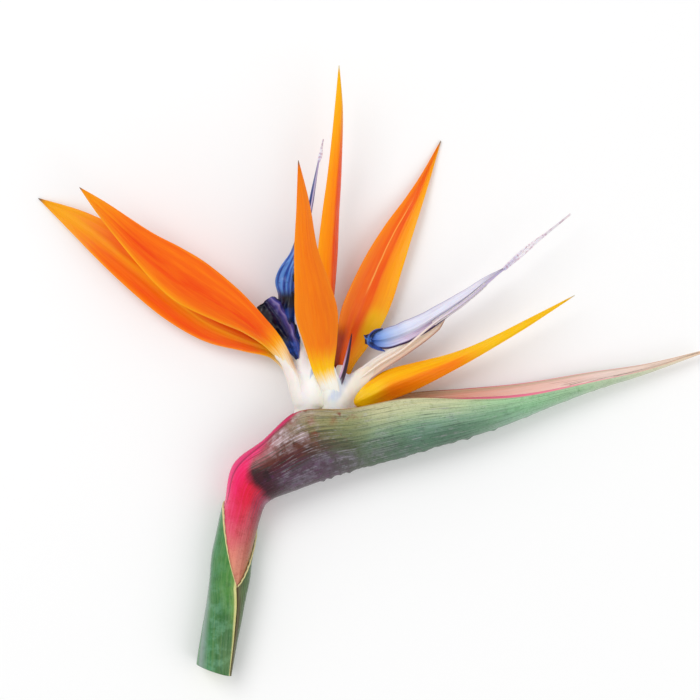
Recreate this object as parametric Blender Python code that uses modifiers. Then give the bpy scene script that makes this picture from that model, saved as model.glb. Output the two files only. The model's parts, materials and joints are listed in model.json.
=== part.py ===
"""Bird of paradise flower: one cut flower head on a short stem, lying on its far side.

Lengths are in millimetres and become metres where a mesh is made. X runs along the boat-shaped spathe
to its tip, Y is the way the flowers open, and Z is up from the surface that the flower lies on.
"""
from math import cos, pi, radians, sin, sqrt

import bmesh
import bpy
from mathutils import Matrix, Vector

for thing in list(bpy.data.objects):
    bpy.data.objects.remove(thing, do_unlink=True)

MM = 0.001
GAP = 0.3                 # clearance that touching pieces keep
CUT_SLANT = 10            # degrees by which the cut leans from square across the stem
SHEATH_RADIUS = 6.7       # outside of the sheath at the cut
SHEATH_WALL = 0.6
SPATHE_WALL = 0.9
BASE_RADIUS = 3.9         # each flower's white base
SEPAL_THICK = 1.0         # a sepal at its midline; it thins towards its margins
PETAL_THICK = 1.1
ARROW_THICK = 4.2         # the two blue petals together, at the widest
STYLE_RADIUS = 0.55
BUNDLE_WIDE = 0.8         # half width of the five anthers pressed together
BUNDLE_DEEP = 0.5         # half depth of the same bundle

flower = bpy.data.collections.new("bird_of_paradise_flower")
bpy.context.scene.collection.children.link(flower)
cutters = bpy.data.collections.new("cutters")
bpy.context.scene.collection.children.link(cutters)


def plant_surface(name, colour, roughness=0.5):
    """Plain plant surface of one colour."""
    made = bpy.data.materials.new(name)
    made.use_nodes = True
    shader = made.node_tree.nodes["Principled BSDF"]
    shader.inputs["Base Color"].default_value = (*colour, 1)
    shader.inputs["Roughness"].default_value = roughness
    shader.inputs["Metallic"].default_value = 0
    return made


def smooth(rows, t):
    """Catmull-Rom curve through rows of numbers, at t from 0 to 1."""
    spans = len(rows) - 1
    k = min(int(t * spans), spans - 1)
    f = t * spans - k
    near = [rows[min(max(k + step, 0), spans)] for step in (-1, 0, 1, 2)]
    return [
        0.5 * (2 * b + (c - a) * f + (2 * a - 5 * b + 4 * c - d) * f**2 + (3 * b - a - 3 * c + d) * f**3)
        for a, b, c, d in zip(*near)
    ]


def heading(rows, t):
    """Direction of the curve through the rows' first three numbers."""
    before = Vector(smooth(rows, max(t - 0.01, 0))[:3])
    after = Vector(smooth(rows, min(t + 0.01, 1))[:3])
    return (after - before).normalized()


def axes_at(rows, t, roll):
    """Rightward and facing directions at t. At roll 0 a piece faces straight up."""
    along = heading(rows, t)
    up = Vector((0, 0, 1))
    face = (up - along * up.dot(along)).normalized()
    face = Matrix.Rotation(radians(roll), 3, along) @ face
    return along.cross(face), face


def name_piece(piece, name, look):
    """Gives a piece its name and material and puts it in the flower's collection."""
    for collection in list(piece.users_collection):
        collection.objects.unlink(piece)
    flower.objects.link(piece)
    piece.name = name
    piece.data.name = name
    piece.data.materials.clear()
    piece.data.materials.append(look)
    return piece


def sheet(across, lengthwise, place):
    """A flat grid moved to place(u, v), where u runs across it and v along it, from 0 to 1."""
    bpy.ops.mesh.primitive_grid_add(x_subdivisions=across, y_subdivisions=lengthwise, size=1)
    piece = bpy.context.object
    for vertex in piece.data.vertices:
        vertex.co = place(vertex.co.x + 0.5, vertex.co.y + 0.5) * MM
    piece.data.shade_smooth()
    return piece


def rolled(around, lengthwise, place):
    """A solid: the grid rolled into a tube by place(angle, t), each end gathered into a flat cap."""

    def rolled_place(u, v):
        ring = round(v * lengthwise)
        t = min(max((ring - 1) / (lengthwise - 2), 0), 1)
        if ring in (0, lengthwise):
            return (place(pi / 2, t) + place(3 * pi / 2, t)) / 2
        return place(2 * pi * (round(u * around) % around) / around, t)

    piece = sheet(around, lengthwise, rolled_place)
    made = bmesh.new()
    made.from_mesh(piece.data)
    bmesh.ops.remove_doubles(made, verts=made.verts, dist=0.00001)
    bmesh.ops.recalc_face_normals(made, faces=made.faces)
    made.to_mesh(piece.data)
    made.free()
    return piece


def leaf(rows, fold=0.0, cup=0.0, thick=SEPAL_THICK, around=12, lengthwise=18):
    """A sepal or petal. Rows hold x, y, z, half width and roll along its midline.

    fold lifts the midline into a ridge, and cup lifts the margins, both as parts of the half width. The
    foot is flat.
    """

    def place(angle, t):
        x, y, z, half, roll = smooth(rows, t)
        half = max(half, 0.4)
        side, face = axes_at(rows, t, roll)
        across = cos(angle)
        ridge = 0.2 - sqrt(across**2 + 0.03)
        depth = thick / 2 * sin(angle) * min(1, 0.35 + 0.25 * half)
        lift = half * (cup * across**2 + fold * ridge) * min(1, 4 * t) + depth
        return Vector((x, y, z)) + side * half * across + face * lift

    return rolled(around, lengthwise, place)


def rod(name, look, points, resolution=2, spans=4):
    """A round stalk through points of x, y, z and radius, as a bevelled curve with filled caps."""
    curve = bpy.data.curves.new(name, "CURVE")
    curve.dimensions = "3D"
    curve.bevel_depth = MM
    curve.bevel_resolution = resolution
    curve.use_fill_caps = True
    count = spans * (len(points) - 1) + 1
    line = curve.splines.new("POLY")
    line.points.add(count - 1)
    for i in range(count):
        x, y, z, radius = smooth(points, i / (count - 1))
        line.points[i].co = (x * MM, y * MM, z * MM, 1)
        line.points[i].radius = radius
    piece = bpy.data.objects.new(name, curve)
    flower.objects.link(piece)
    return name_piece(piece, name, look)


def thicken(piece, wall):
    """Gives an open sheet its wall, inwards from the surface that was drawn."""
    solidify = piece.modifiers.new("wall", "SOLIDIFY")
    solidify.thickness = wall * MM
    solidify.offset = -1
    return piece


# Stem: the round stalk from the cut foot, up through the neck and round into the boat.
stem_route = [
    (-57.7, -109.9, 6.7, 5.6), (-55.4, -96.5, 6.9, 5.2), (-53.3, -86, 7.1, 4.6), (-51, -68.5, 7.6, 5.2),
    (-47, -51, 8.8, 5.6), (-42, -39.5, 10.2, 5.3), (-34, -33, 11.2, 4.6),
]
rod("stem", plant_surface("stem_flesh", (0.75, 0.45, 0.32)), stem_route, resolution=3)


# Sheath: a green bract wrapped once round the lower stem. Its top edge dips to a V at the front seam.
SEAM = 30                 # degrees round the stem from the upper side, where the two margins meet
SLIT = 2                  # degrees left open at the seam
sheath_axis = [
    (-57.7, -110.3, 6.7, SHEATH_RADIUS), (-55.5, -97, 6.9, 6.9), (-53.4, -86, 7.1, 7.1),
    (-52, -77, 7.4, 7.4), (-50.8, -68.5, 7.7, 7.7), (-48.8, -59, 8.2, 8), (-46.6, -49, 8.9, 8.1),
]
# the top edge's place along the axis, at even steps round from the seam
sheath_top = [(0.48,), (0.66,), (0.88,), (0.97,), (0.99,), (0.99,), (0.93,), (0.72,), (0.48,)]


def sheath_place(u, v):
    angle = radians(SEAM + SLIT / 2 + (360 - SLIT) * u)
    t = v * smooth(sheath_top, u)[0]
    x, y, z, radius = smooth(sheath_axis, t)
    right, up = axes_at(sheath_axis, t, 0)
    slant = heading(sheath_axis, t) * radius * sin(angle) * sin(radians(CUT_SLANT)) * (1 - v)
    return Vector((x, y, z)) + (right * sin(angle) + up * cos(angle)) * radius - slant


sheath = thicken(sheet(32, 8, sheath_place), SHEATH_WALL)
name_piece(sheath, "stem_sheath", plant_surface("sheath_green", (0.05, 0.27, 0.08)))


# Spathe: the boat-shaped bract. Each row is one section: its keel, its near lip, how far the far lip stands
# above the near one, the height of its middle, its half depth and how far round each wall reaches.
NECK_REACH = 176          # degrees round from the keel where the neck is nearly closed
OPEN_REACH = 100          # and where a wall would be a plain flat-sided boat
spathe_rows = [
    # keel x, y     lip x, y       far  middle  half  reach
    (-47.5, -87.2, -59.1, -84.8, 0, 7.1, 5.9, 176),
    (-44.5, -70.0, -57.4, -67.0, 0, 7.6, 6.6, 176),
    (-40.2, -52.9, -53.9, -48.8, 0, 8.8, 7, 175),
    (-36.5, -47.4, -50.7, -33.8, 0, 10.3, 8.6, 166),
    (-28.5, -43.8, -40.0, -24.9, 0, 11, 9.8, 150),
    (-14.0, -38.8, -26.4, -14.0, 0, 11.1, 10.9, 122),
    (1.0, -34.2, -7.2, -12.9, 0, 11.1, 11, 108),
    (19.7, -29.2, 13.4, -9.2, 1.5, 10.9, 10.6, 110),
    (42.9, -22.1, 36.9, -8.9, 3.4, 9.6, 8.4, 116),
    (62.6, -14.6, 58.9, -7.5, 4.2, 8, 6.2, 118),
    (83.4, -6.8, 81.9, -3.1, 3.4, 6.6, 4, 118),
    (104.0, -0.1, 103.3, 1.3, 2.2, 5.4, 2.2, 118),
    (123.7, 7.0, 123.4, 7.7, 0.5, 4.4, 0.8, 110),
]


def spathe_place(u, v):
    kx, ky, lx, ly, far, middle, half, reach = smooth(spathe_rows, v)
    turn = radians(reach) * (1 - 2 * u)
    keel, lip = Vector((kx, ky, middle)), Vector((lx, ly, middle))
    height = (lip - keel).length + (far if turn < 0 else 0)
    roundness = 1 - 0.25 * (NECK_REACH - reach) / (NECK_REACH - OPEN_REACH)
    share = ((1 - cos(turn)) / (1 - cos(radians(reach)))) ** roundness
    return keel + (lip - keel).normalized() * height * share + Vector((0, 0, half * sin(turn)))


spathe = thicken(sheet(24, 36, spathe_place), SPATHE_WALL)
name_piece(spathe, "spathe", plant_surface("spathe_green", (0.16, 0.33, 0.2)))


# White bases: one fleshy stalk for each flower, side by side on the stem's end and out through the boat.
base_white = plant_surface("base_white", (0.85, 0.82, 0.72))
bases = {
    "flower_1_base": [
        (-34.3, -30.2, 11.2, 1.9), (-29.6, -25.4, 11, 3.4), (-24.2, -18, 10.7, 4),
        (-21.4, -8.5, 10.4, BASE_RADIUS),
    ],
    "flower_2_base": [
        (-31.2, -33.4, 11.2, 1.9), (-23.2, -29.5, 11.2, 3.4), (-15.2, -20.5, 10.8, 4),
        (-10.1, -8, 10.4, BASE_RADIUS),
    ],
}
for name, route in bases.items():
    rod(name, base_white, route)


# Sepals: the orange blades. Each stands with its foot on the side of its flower's white base.
sepal_orange = plant_surface("sepal_orange", (0.9, 0.2, 0.01), 0.4)
sepals = {
    "flower_1_sepal_lower": dict(
        rows=[
            (-25.7, -10.5, 7.4, 2, 50), (-28.8, -0.5, 6.5, 2.7, 40), (-35.2, 7.8, 6.2, 3.4, 25),
            (-46, 12.2, 6, 4.6, 10), (-58.5, 17.8, 6, 6.8, 0), (-71, 26.5, 5.8, 8.2, 0),
            (-83, 36.8, 5.2, 8.6, 0), (-95.5, 46.8, 4.2, 7.4, 0), (-108.5, 56, 2.6, 4.6, 0),
            (-123.5, 65, 0.25, 0.4, 0),
        ],
        cup=0.15,
    ),
    "flower_1_sepal_upper": dict(
        rows=[
            (-25.7, -10.5, 13.4, 2, -50), (-28.8, 0, 13.9, 2.6, -40), (-34.7, 10, 15, 3.5, -25),
            (-43, 18, 16.6, 5, -15), (-52.5, 24.8, 18.4, 7.3, -8), (-64.5, 32.5, 21, 9, -5),
            (-73.5, 39, 22.8, 8.2, -5), (-83.5, 47, 25, 5.8, -5), (-97, 59.5, 27.6, 2.8, -5),
            (-105.5, 67.5, 29, 0.4, -5),
        ],
        cup=-0.15,
    ),
    "flower_1_sepal_keeled": dict(
        rows=[
            (-17.4, -12.6, 10.4, 1.8, 90), (-16.3, -3.5, 10.4, 2.6, 75), (-16, 8.5, 10.8, 3.2, 55),
            (-15.4, 21, 11.8, 4.3, 40), (-14.6, 33, 13, 4.5, 35), (-14, 45, 14.2, 4.3, 30),
            (-13.1, 59, 16, 3.6, 30), (-11.8, 75, 18, 2.8, 30), (-10.8, 96, 20.2, 1.8, 30),
            (-11.2, 112.5, 22, 0.4, 30),
        ],
        fold=0.8,
    ),
    "flower_2_sepal_front": dict(
        rows=[
            (-12.3, -10.4, 15, 2, -12), (-14.6, -5, 15.4, 3.3, -8), (-17, 1.5, 16.4, 4.1, 0),
            (-18, 11, 20.5, 6.2, 0), (-19.3, 21, 27, 7.8, 0), (-20.8, 31, 34, 6.5, 0),
            (-23, 44, 42, 4.3, 0), (-23.9, 60, 50, 2.4, 0), (-25.5, 75.5, 56, 0.4, 0),
        ],
        fold=0.2,
    ),
    "flower_2_sepal_back": dict(
        rows=[
            (-11.2, -10.8, 5.7, 2, 0), (-10.8, -4, 5, 2.6, 0), (-9.3, 4, 4.6, 4, 5),
            (-6.5, 12, 4.6, 6.3, 10), (-3.3, 20.5, 5, 8.2, 10), (0.5, 29.5, 5, 8.4, 10),
            (5, 40.5, 4.8, 7.4, 10), (10.5, 52, 4, 5.6, 5), (16, 62.5, 2.8, 3.6, 0), (21, 73, 1.6, 1.9, 0),
            (26.7, 86.5, 0.25, 0.4, 0),
        ],
        cup=0.25,
    ),
    "flower_2_sepal_keeled": dict(
        rows=[
            (-7, -12.5, 9.2, 2, 100), (-3.9, -10.6, 8.2, 3.4, 50), (0.5, -8.4, 8.5, 4.8, 25),
            (8.5, -4.2, 9.7, 5.5, 5), (17, -0.9, 10.5, 4.9, -5), (29.5, 3.9, 11.3, 3.3, -10),
            (37.5, 7.4, 12, 2.5, -10), (46.5, 12, 13, 1.9, -10), (57.5, 18.1, 14.2, 1.4, -10),
            (75.5, 28.5, 16, 0.4, -10),
        ],
        fold=0.6,
    ),
}
for name, shape in sepals.items():
    name_piece(leaf(**shape), name, sepal_orange)


# Small petals: a narrow dark spike on the upper side of each base's top.
small_dark = plant_surface("small_petal_dark", (0.1, 0.02, 0.06), 0.4)
small_petals = {
    "flower_1_small_petal": [
        (-21.2, -7.7, 13.3, 1.3, 0), (-20.6, -1, 13.6, 1.6, 0), (-19.6, 6, 14, 1.1, 0),
        (-18.8, 12, 14.4, 0.4, 0),
    ],
    "flower_2_small_petal": [
        (-9.8, -7.2, 13.3, 1.3, 0), (-9.4, -1, 13.5, 1.6, 0), (-8.2, 7, 13.8, 1.1, 0),
        (-6.5, 14.5, 14, 0.4, 0),
    ],
}
for name, rows in small_petals.items():
    name_piece(leaf(rows, cup=0.3, thick=0.8, around=10, lengthwise=12), name, small_dark)


# Arrows: two blue petals grown together as a barbed blade on a channelled claw. A groove along the blade's
# upper side holds the anthers and the style.
CLAW_CUP = 0.4
GROOVE_WIDE = 0.6         # half width of the groove, in half widths of the blade


def half_thickness(half):
    return ARROW_THICK / 2 * min(1, 0.3 + half / 5)


def groove_depth(half):
    return 1.5 * min(1, half / 3)


def blade(rows, groove_at):
    """The barbed blade. groove_at is the groove's place across it, from -1 to 1."""

    def place(angle, t):
        x, y, z, half, roll = smooth(rows, t)
        half = max(half, 0.5)
        side, face = axes_at(rows, t, roll)
        across = cos(angle)
        hollow = max(0, 1 - ((across - groove_at) / GROOVE_WIDE) ** 2)
        groove = groove_depth(half) * hollow * max(sin(angle), 0)
        lift = half_thickness(half) * sin(angle) - groove
        return Vector((x, y, z)) + side * half * across + face * lift

    return rolled(16, 18, place)


def arrow(name, look, claw_rows, blade_rows, groove_at):
    """Blade and claw joined into one body."""
    body = name_piece(blade(blade_rows, groove_at), name, look)
    claw = leaf(claw_rows, cup=CLAW_CUP, thick=PETAL_THICK, around=10, lengthwise=14)
    for collection in list(claw.users_collection):
        collection.objects.unlink(claw)
    cutters.objects.link(claw)
    claw.name = name + "_claw"
    claw.hide_render = True
    claw.display_type = "WIRE"
    union = body.modifiers.new("claw", "BOOLEAN")
    union.operation = "UNION"
    union.object = claw


def bundle(points):
    """Five anthers side by side, as one flat rod with five lobes."""

    def place(angle, t):
        x, y, z = smooth(points, t)
        side, face = axes_at(points, t, 0)
        lobes = 1 + 0.12 * cos(5 * angle)
        full = lobes * min(1, 0.5 + 2 * t, 0.4 + 3 * (1 - t))
        across = side * BUNDLE_WIDE * cos(angle) * full
        return Vector((x, y, z)) + across + face * BUNDLE_DEEP * sin(angle) * full

    return rolled(15, 16, place)


def over(rows, t, across, lift):
    """Point over a petal at t. across is in half widths and lift gives a height above the midline."""
    x, y, z, half, roll = smooth(rows, t)
    side, face = axes_at(rows, t, roll)
    return tuple(Vector((x, y, z)) + side * half * across + face * lift(half))


# Stamens and style rise from the base's top and lie on the claw and in the groove, the style uppermost. The
# style goes on past the arrow's tip as the sticky stigma.
def stamens_lift(floor):
    return floor + GAP + BUNDLE_DEEP * 1.12


def style_lift(floor):
    return stamens_lift(floor) + BUNDLE_DEEP * 1.12 + GAP + STYLE_RADIUS


def claw_floor(half):
    return PETAL_THICK / 2 + 0.05


def groove_floor(half):
    return 0.9 * half_thickness(half) - groove_depth(half) + 0.15


def lay_in_arrow(claw_rows, blade_rows, groove_at, claw_to, groove_from, groove_to, lift):
    """Route over the claw from the base's top and on along the groove, at height lift over each floor."""
    route = [over(claw_rows, claw_to * i / 3, 0, lambda half: lift(claw_floor(half))) for i in range(4)]
    for i in range(5):
        t = groove_from + (groove_to - groove_from) * i / 4
        route.append(over(blade_rows, t, groove_at, lambda half: lift(groove_floor(half))))
    return route


anther_cream = plant_surface("anther_cream", (0.85, 0.8, 0.6))
style_lilac = plant_surface("style_lilac", (0.75, 0.65, 0.8), 0.35)
arrows = {
    "flower_1": dict(
        look=plant_surface("arrow_dark_blue", (0.02, 0.04, 0.22), 0.35),
        claw_rows=[
            (-21.2, -7.2, 8.8, 2, 0), (-22.3, -2, 9, 2.7, 0), (-23.6, 5, 9.5, 2.7, 0),
            (-25.8, 14, 9.8, 2.3, 0), (-28, 23, 9.6, 1.6, 0),
        ],
        blade_rows=[
            (-27.5, 7, 9, 1.2, 0), (-30, 14, 9.6, 4.5, 0), (-31.5, 21.5, 10.4, 8.3, 0),
            (-30.2, 28.5, 11, 7.4, 0), (-28.3, 36, 11.2, 5.3, 0), (-26, 44, 11.6, 3.4, 0),
            (-23.5, 54, 12.4, 1.9, 0), (-21, 66, 13.8, 1.1, 0), (-18.7, 78.3, 15, 0.5, 0),
        ],
        groove_at=0.45,
        stamens=(0.6, 0.22, 0.7),
        stigma=[(-17.8, 82, 16.5, 0.8), (-17, 86, 16.8, 0.35)],
    ),
    "flower_2": dict(
        look=plant_surface("arrow_pale_blue", (0.35, 0.5, 0.8), 0.35),
        claw_rows=[
            (-9.6, -6.7, 8.8, 1.9, 0), (-3.9, -2.4, 9.2, 2.8, 0), (3.8, 3.4, 9.8, 2.9, 0),
            (12, 8.4, 10.2, 2.5, 0), (20.5, 13.9, 10.6, 2, 0), (28, 20, 11, 1.6, 0),
        ],
        blade_rows=[
            (-1.5, 12.3, 11, 1.2, 0), (5, 12.3, 11, 3.9, 0), (12, 14.5, 11.2, 4, 0),
            (18.5, 17.5, 11.6, 3.7, 0), (27, 22.7, 12.3, 3, 0), (36, 28.6, 13, 2.3, 0),
            (43, 34, 13.4, 1.4, 0), (49.8, 38.6, 14, 0.5, 0),
        ],
        groove_at=0.6,
        stamens=(0.6, 0.5, 0.85),
        stigma=[(55, 43.2, 15.4, 1.1), (64, 50.4, 15.6, 0.9), (74, 58.5, 15.8, 0.3)],
    ),
}
for flower_name, kind in arrows.items():
    petals = (kind["claw_rows"], kind["blade_rows"], kind["groove_at"])
    arrow(flower_name + "_arrow", kind["look"], *petals)
    anthers = bundle(lay_in_arrow(*petals, *kind["stamens"], stamens_lift))
    name_piece(anthers, flower_name + "_stamens", anther_cream)
    claw_to, groove_from, _ = kind["stamens"]
    route = lay_in_arrow(*petals, claw_to, groove_from, 1, style_lift)
    points = [(*point, STYLE_RADIUS) for point in route] + kind["stigma"]
    rod(flower_name + "_style", style_lilac, points, resolution=1, spans=3)
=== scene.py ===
"""Finished surfaces of a cut bird of paradise flower that lies on its far side.

Every piece is drawn in millimetres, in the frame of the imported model, and becomes metres where its mesh
is made.
"""
import json

import bmesh
import bpy
import numpy as np
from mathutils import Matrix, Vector

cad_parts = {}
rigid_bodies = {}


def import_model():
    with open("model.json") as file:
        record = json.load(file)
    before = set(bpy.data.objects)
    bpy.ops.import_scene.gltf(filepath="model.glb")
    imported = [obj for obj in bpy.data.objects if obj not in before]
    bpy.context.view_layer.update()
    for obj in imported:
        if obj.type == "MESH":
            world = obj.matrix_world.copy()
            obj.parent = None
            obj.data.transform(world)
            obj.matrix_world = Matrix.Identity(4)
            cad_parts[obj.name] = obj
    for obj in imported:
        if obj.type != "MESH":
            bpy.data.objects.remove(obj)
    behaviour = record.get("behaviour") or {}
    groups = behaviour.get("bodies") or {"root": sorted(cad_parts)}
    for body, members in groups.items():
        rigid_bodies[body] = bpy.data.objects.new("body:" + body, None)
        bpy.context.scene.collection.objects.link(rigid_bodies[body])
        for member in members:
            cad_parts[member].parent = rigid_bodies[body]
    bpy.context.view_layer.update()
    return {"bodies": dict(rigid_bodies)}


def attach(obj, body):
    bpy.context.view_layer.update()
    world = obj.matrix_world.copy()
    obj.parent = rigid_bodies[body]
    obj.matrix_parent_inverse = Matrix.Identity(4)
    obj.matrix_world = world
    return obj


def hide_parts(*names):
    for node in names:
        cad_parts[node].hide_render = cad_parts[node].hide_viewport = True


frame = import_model()


# Stem. The real one is a round fleshy stalk, cut with a knife at its foot. It runs up inside the sheath and
# the neck, so only the cut end shows: pale wet flesh with the dark ends of its fibre bundles.
MM = 0.001
BODY = next(iter(frame["bodies"]))
CUT_SLANT = 10  # degrees off square
SLANT_REACH = 1 / 3  # of the stem, up to where its rings are square again
CUT_SHARE = 0.1  # of the mesh's rings, which lie in the cut
END_SHARE = 0.02
FIBRES_PROUD = 0.25
CUT_ROUGH = 0.05
stem_route = [
    # x, y, z and radius
    (-57.7, -109.9, 6.7, 5.6), (-55.4, -96.5, 6.9, 5.2), (-53.3, -86, 7.1, 4.6), (-51, -68.5, 7.6, 5.2),
    (-47, -51, 8.8, 5.6), (-42, -39.5, 10.2, 5.3), (-34, -33, 11.2, 4.6),
]


def smooth(rows, t):
    """Catmull-Rom curve through evenly spaced rows of numbers, at each t from 0 to 1."""
    rows = np.asarray(rows, float)
    t = np.asarray(t, float)
    spans = len(rows) - 1
    k = np.minimum((t * spans).astype(int), spans - 1)
    f = (t * spans - k)[..., None]
    a, b, c, d = (rows[np.clip(k + step, 0, spans)] for step in (-1, 0, 1, 2))
    return 0.5 * (2 * b + (c - a) * f + (2 * a - 5 * b + 4 * c - d) * f**2 + (3 * b - a - 3 * c + d) * f**3)


def unit(vectors):
    return vectors / np.maximum(np.linalg.norm(vectors, axis=-1, keepdims=True), 1e-9)


def heading(rows, t):
    """Direction of the curve through the rows' first three numbers."""
    t = np.asarray(t, float)
    return unit(
        smooth(rows, np.minimum(t + 0.01, 1))[..., :3] - smooth(rows, np.maximum(t - 0.01, 0))[..., :3],
    )


def axes_at(rows, t, roll=0.0):
    """Rightward and facing directions at each t. At roll 0 a piece faces straight up."""
    along = heading(rows, t)
    up = unit(np.array((0, 0, 1.0)) - along * along[..., 2:])
    right = np.cross(along, up)
    turn = np.broadcast_to(np.radians(roll), along.shape[:-1])[..., None]
    return right * np.cos(turn) - up * np.sin(turn), up * np.cos(turn) + right * np.sin(turn)


def ripple(x, y, seed, waves=8):
    """Gentle unevenness, mostly within -1 and 1: a sum of waves in directions that the seed fixes."""
    draw = np.random.default_rng(seed)
    total = 0
    for _ in range(waves):
        fx, fy = draw.uniform(-1.6, 1.6, 2)
        total = total + np.sin(fx * x + fy * y + draw.uniform(0, 2 * np.pi))
    return total / waves**0.5 / 1.5


def share_of(value, start, end):
    """How far a value has come from start to end, held between 0 and 1."""
    return np.clip((value - start) / (end - start), 0, 1)


def hold(mesh, **values):
    """Keeps a number or a direction at each of the mesh's points, under its name."""
    for label, held in values.items():
        kind, field = ("FLOAT", "value") if np.ndim(held) == 1 else ("FLOAT_VECTOR", "vector")
        mesh.attributes.new(label, kind, "POINT").data.foreach_set(field, np.ravel(held))


def sheet(name, finish, across, lengthwise, place):
    """A flat grid moved to place(u, v), from 0 to 1 both ways. place also gives values kept at each point."""
    bpy.ops.mesh.primitive_grid_add(x_subdivisions=across, y_subdivisions=lengthwise, size=1)
    piece = bpy.context.object
    flat = np.empty(len(piece.data.vertices) * 3)
    piece.data.vertices.foreach_get("co", flat)
    u, v = (flat.reshape(-1, 3)[:, :2] + 0.5).T
    points, held = place(u, v)
    piece.data.vertices.foreach_set("co", (points * MM).ravel())
    hold(piece.data, **held)
    made = bmesh.new()
    made.from_mesh(piece.data)
    bmesh.ops.remove_doubles(made, verts=made.verts, dist=0.000001)
    made.to_mesh(piece.data)
    made.free()
    piece.data.shade_smooth()
    piece.data.materials.clear()
    piece.data.materials.append(finish)
    piece.name = name
    piece.data.name = name
    return piece


def settle(piece, node):
    """The finished piece stands for its CAD node."""
    piece.name = node + "_surface"
    piece.data.name = piece.name
    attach(piece, BODY)
    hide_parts(node)


def hue(code):
    """A colour from its six-digit code."""
    parts = np.array([int(code[i : i + 2], 16) for i in (0, 2, 4)]) / 255
    return (*np.where(parts <= 0.04045, parts / 12.92, ((parts + 0.055) / 1.055) ** 2.4), 1)


def put(kind, *values, tree=None, **settings):
    """Adds a node to the tree that its values come from.

    Each value goes into the input at the same place, as a link or as a constant. None leaves it as it is.
    """
    if tree is None:
        tree = next(value.id_data for value in values if isinstance(value, bpy.types.NodeSocket))
    added = tree.nodes.new(kind)
    for setting, choice in settings.items():
        setattr(added, setting, choice)
    for socket, value in zip([socket for socket in added.inputs if socket.enabled], values):
        if isinstance(value, bpy.types.NodeSocket):
            tree.links.new(value, socket)
        elif value is not None:
            socket.default_value = value
    return next(socket for socket in added.outputs if socket.enabled)


def calc(operation, *values):
    return put("ShaderNodeMath", *values, operation=operation)


def times(product, *others):
    for other in others:
        product = calc("MULTIPLY", product, other)
    return product


def plus(total, *others):
    for other in others:
        total = calc("ADD", total, other)
    return total


def fade(value, start, end):
    """A soft step from 0 at start to 1 at end."""
    return put("ShaderNodeMapRange", value, start, end, interpolation_type="SMOOTHSTEP")


def tint(share, under, over, kind="MIX"):
    """Lays one colour over another."""
    return put("ShaderNodeMix", share, under, over, data_type="RGBA", blend_type=kind)


def ramp(value, stops):
    """Colours along a value from 0 to 1, as pairs of place and colour code."""
    made = put("ShaderNodeValToRGB", value)
    elements = made.node.color_ramp.elements
    for i, (place, code) in enumerate(stops):
        element = elements[i] if i < 2 else elements.new(place)
        element.position = place
        element.color = hue(code)
    return made


def kept(tree, label):
    """A value that the mesh keeps at its points."""
    return put("ShaderNodeAttribute", tree=tree, attribute_name=label).node.outputs["Fac"]


def vector(x, y, z=0.0):
    return put("ShaderNodeCombineXYZ", x, y, z)


def noise(place, scale=1.0, detail=3.0, roughness=0.5):
    return put("ShaderNodeTexNoise", place, scale, detail, roughness)


def new_finish(name, roughness, coat=0.0, glow=0.0, shine=0.3):
    """A plant surface's material. glow is how much light goes into the flesh and comes out again."""
    made = bpy.data.materials.new(name)
    made.use_nodes = True
    shader = made.node_tree.nodes["Principled BSDF"]
    looks = {
        "Roughness": roughness, "Specular IOR Level": shine, "Coat Weight": coat, "Coat Roughness": 0.3,
        "Subsurface Weight": glow, "Subsurface Radius": (1.0, 0.5, 0.25), "Subsurface Scale": MM,
    }
    for label, value in looks.items():
        shader.inputs[label].default_value = value
    return made, made.node_tree, shader


def finish_with(shader, colour, height, depth, roughness=None):
    """Joins the colour, the roughness and a relief of some depth, in millimetres, to the shader."""
    tree = shader.id_data
    relief = tree.nodes.new("ShaderNodeBump")
    relief.inputs["Distance"].default_value = depth * MM
    tree.links.new(height, relief.inputs["Height"])
    tree.links.new(relief.outputs["Normal"], shader.inputs["Normal"])
    tree.links.new(colour, shader.inputs["Base Color"])
    if roughness is not None:
        tree.links.new(roughness, shader.inputs["Roughness"])


def open_group(name, kind, takes, gives):
    """A new node group with named sockets, as tree, inputs to use and outputs to feed."""
    tree = bpy.data.node_groups.new(name, kind)
    for label, socket in takes.items():
        tree.interface.new_socket(label, in_out="INPUT", socket_type="NodeSocket" + socket)
    for label, socket in gives.items():
        tree.interface.new_socket(label, in_out="OUTPUT", socket_type="NodeSocket" + socket)
    return tree, tree.nodes.new("NodeGroupInput").outputs, tree.nodes.new("NodeGroupOutput").inputs


def object_place(tree):
    return tree.nodes.new("ShaderNodeTexCoord").outputs["Object"]


stem_flesh, tree, shader = new_finish("stem_flesh", roughness=0.45, glow=0.1)
along, deep = kept(tree, "along"), kept(tree, "cut")
wet = noise(object_place(tree), 900, 4)
skin = ramp(along, [(0, "7FA05A"), (0.3, "C9B98C"), (1, "D98A78")])
flesh = ramp(wet, [(0.3, "CFD9A0"), (0.7, "E9EBC8")])
rind = fade(deep, 0.82, 0.97)
cut_colour = tint(rind, flesh, ramp(wet, [(0.3, "5F7F3A"), (0.7, "87A35A")]))
is_cut = calc("LESS_THAN", along, 0.001)
finish_with(shader, tint(is_cut, skin, cut_colour), wet, depth=0.15)


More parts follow.
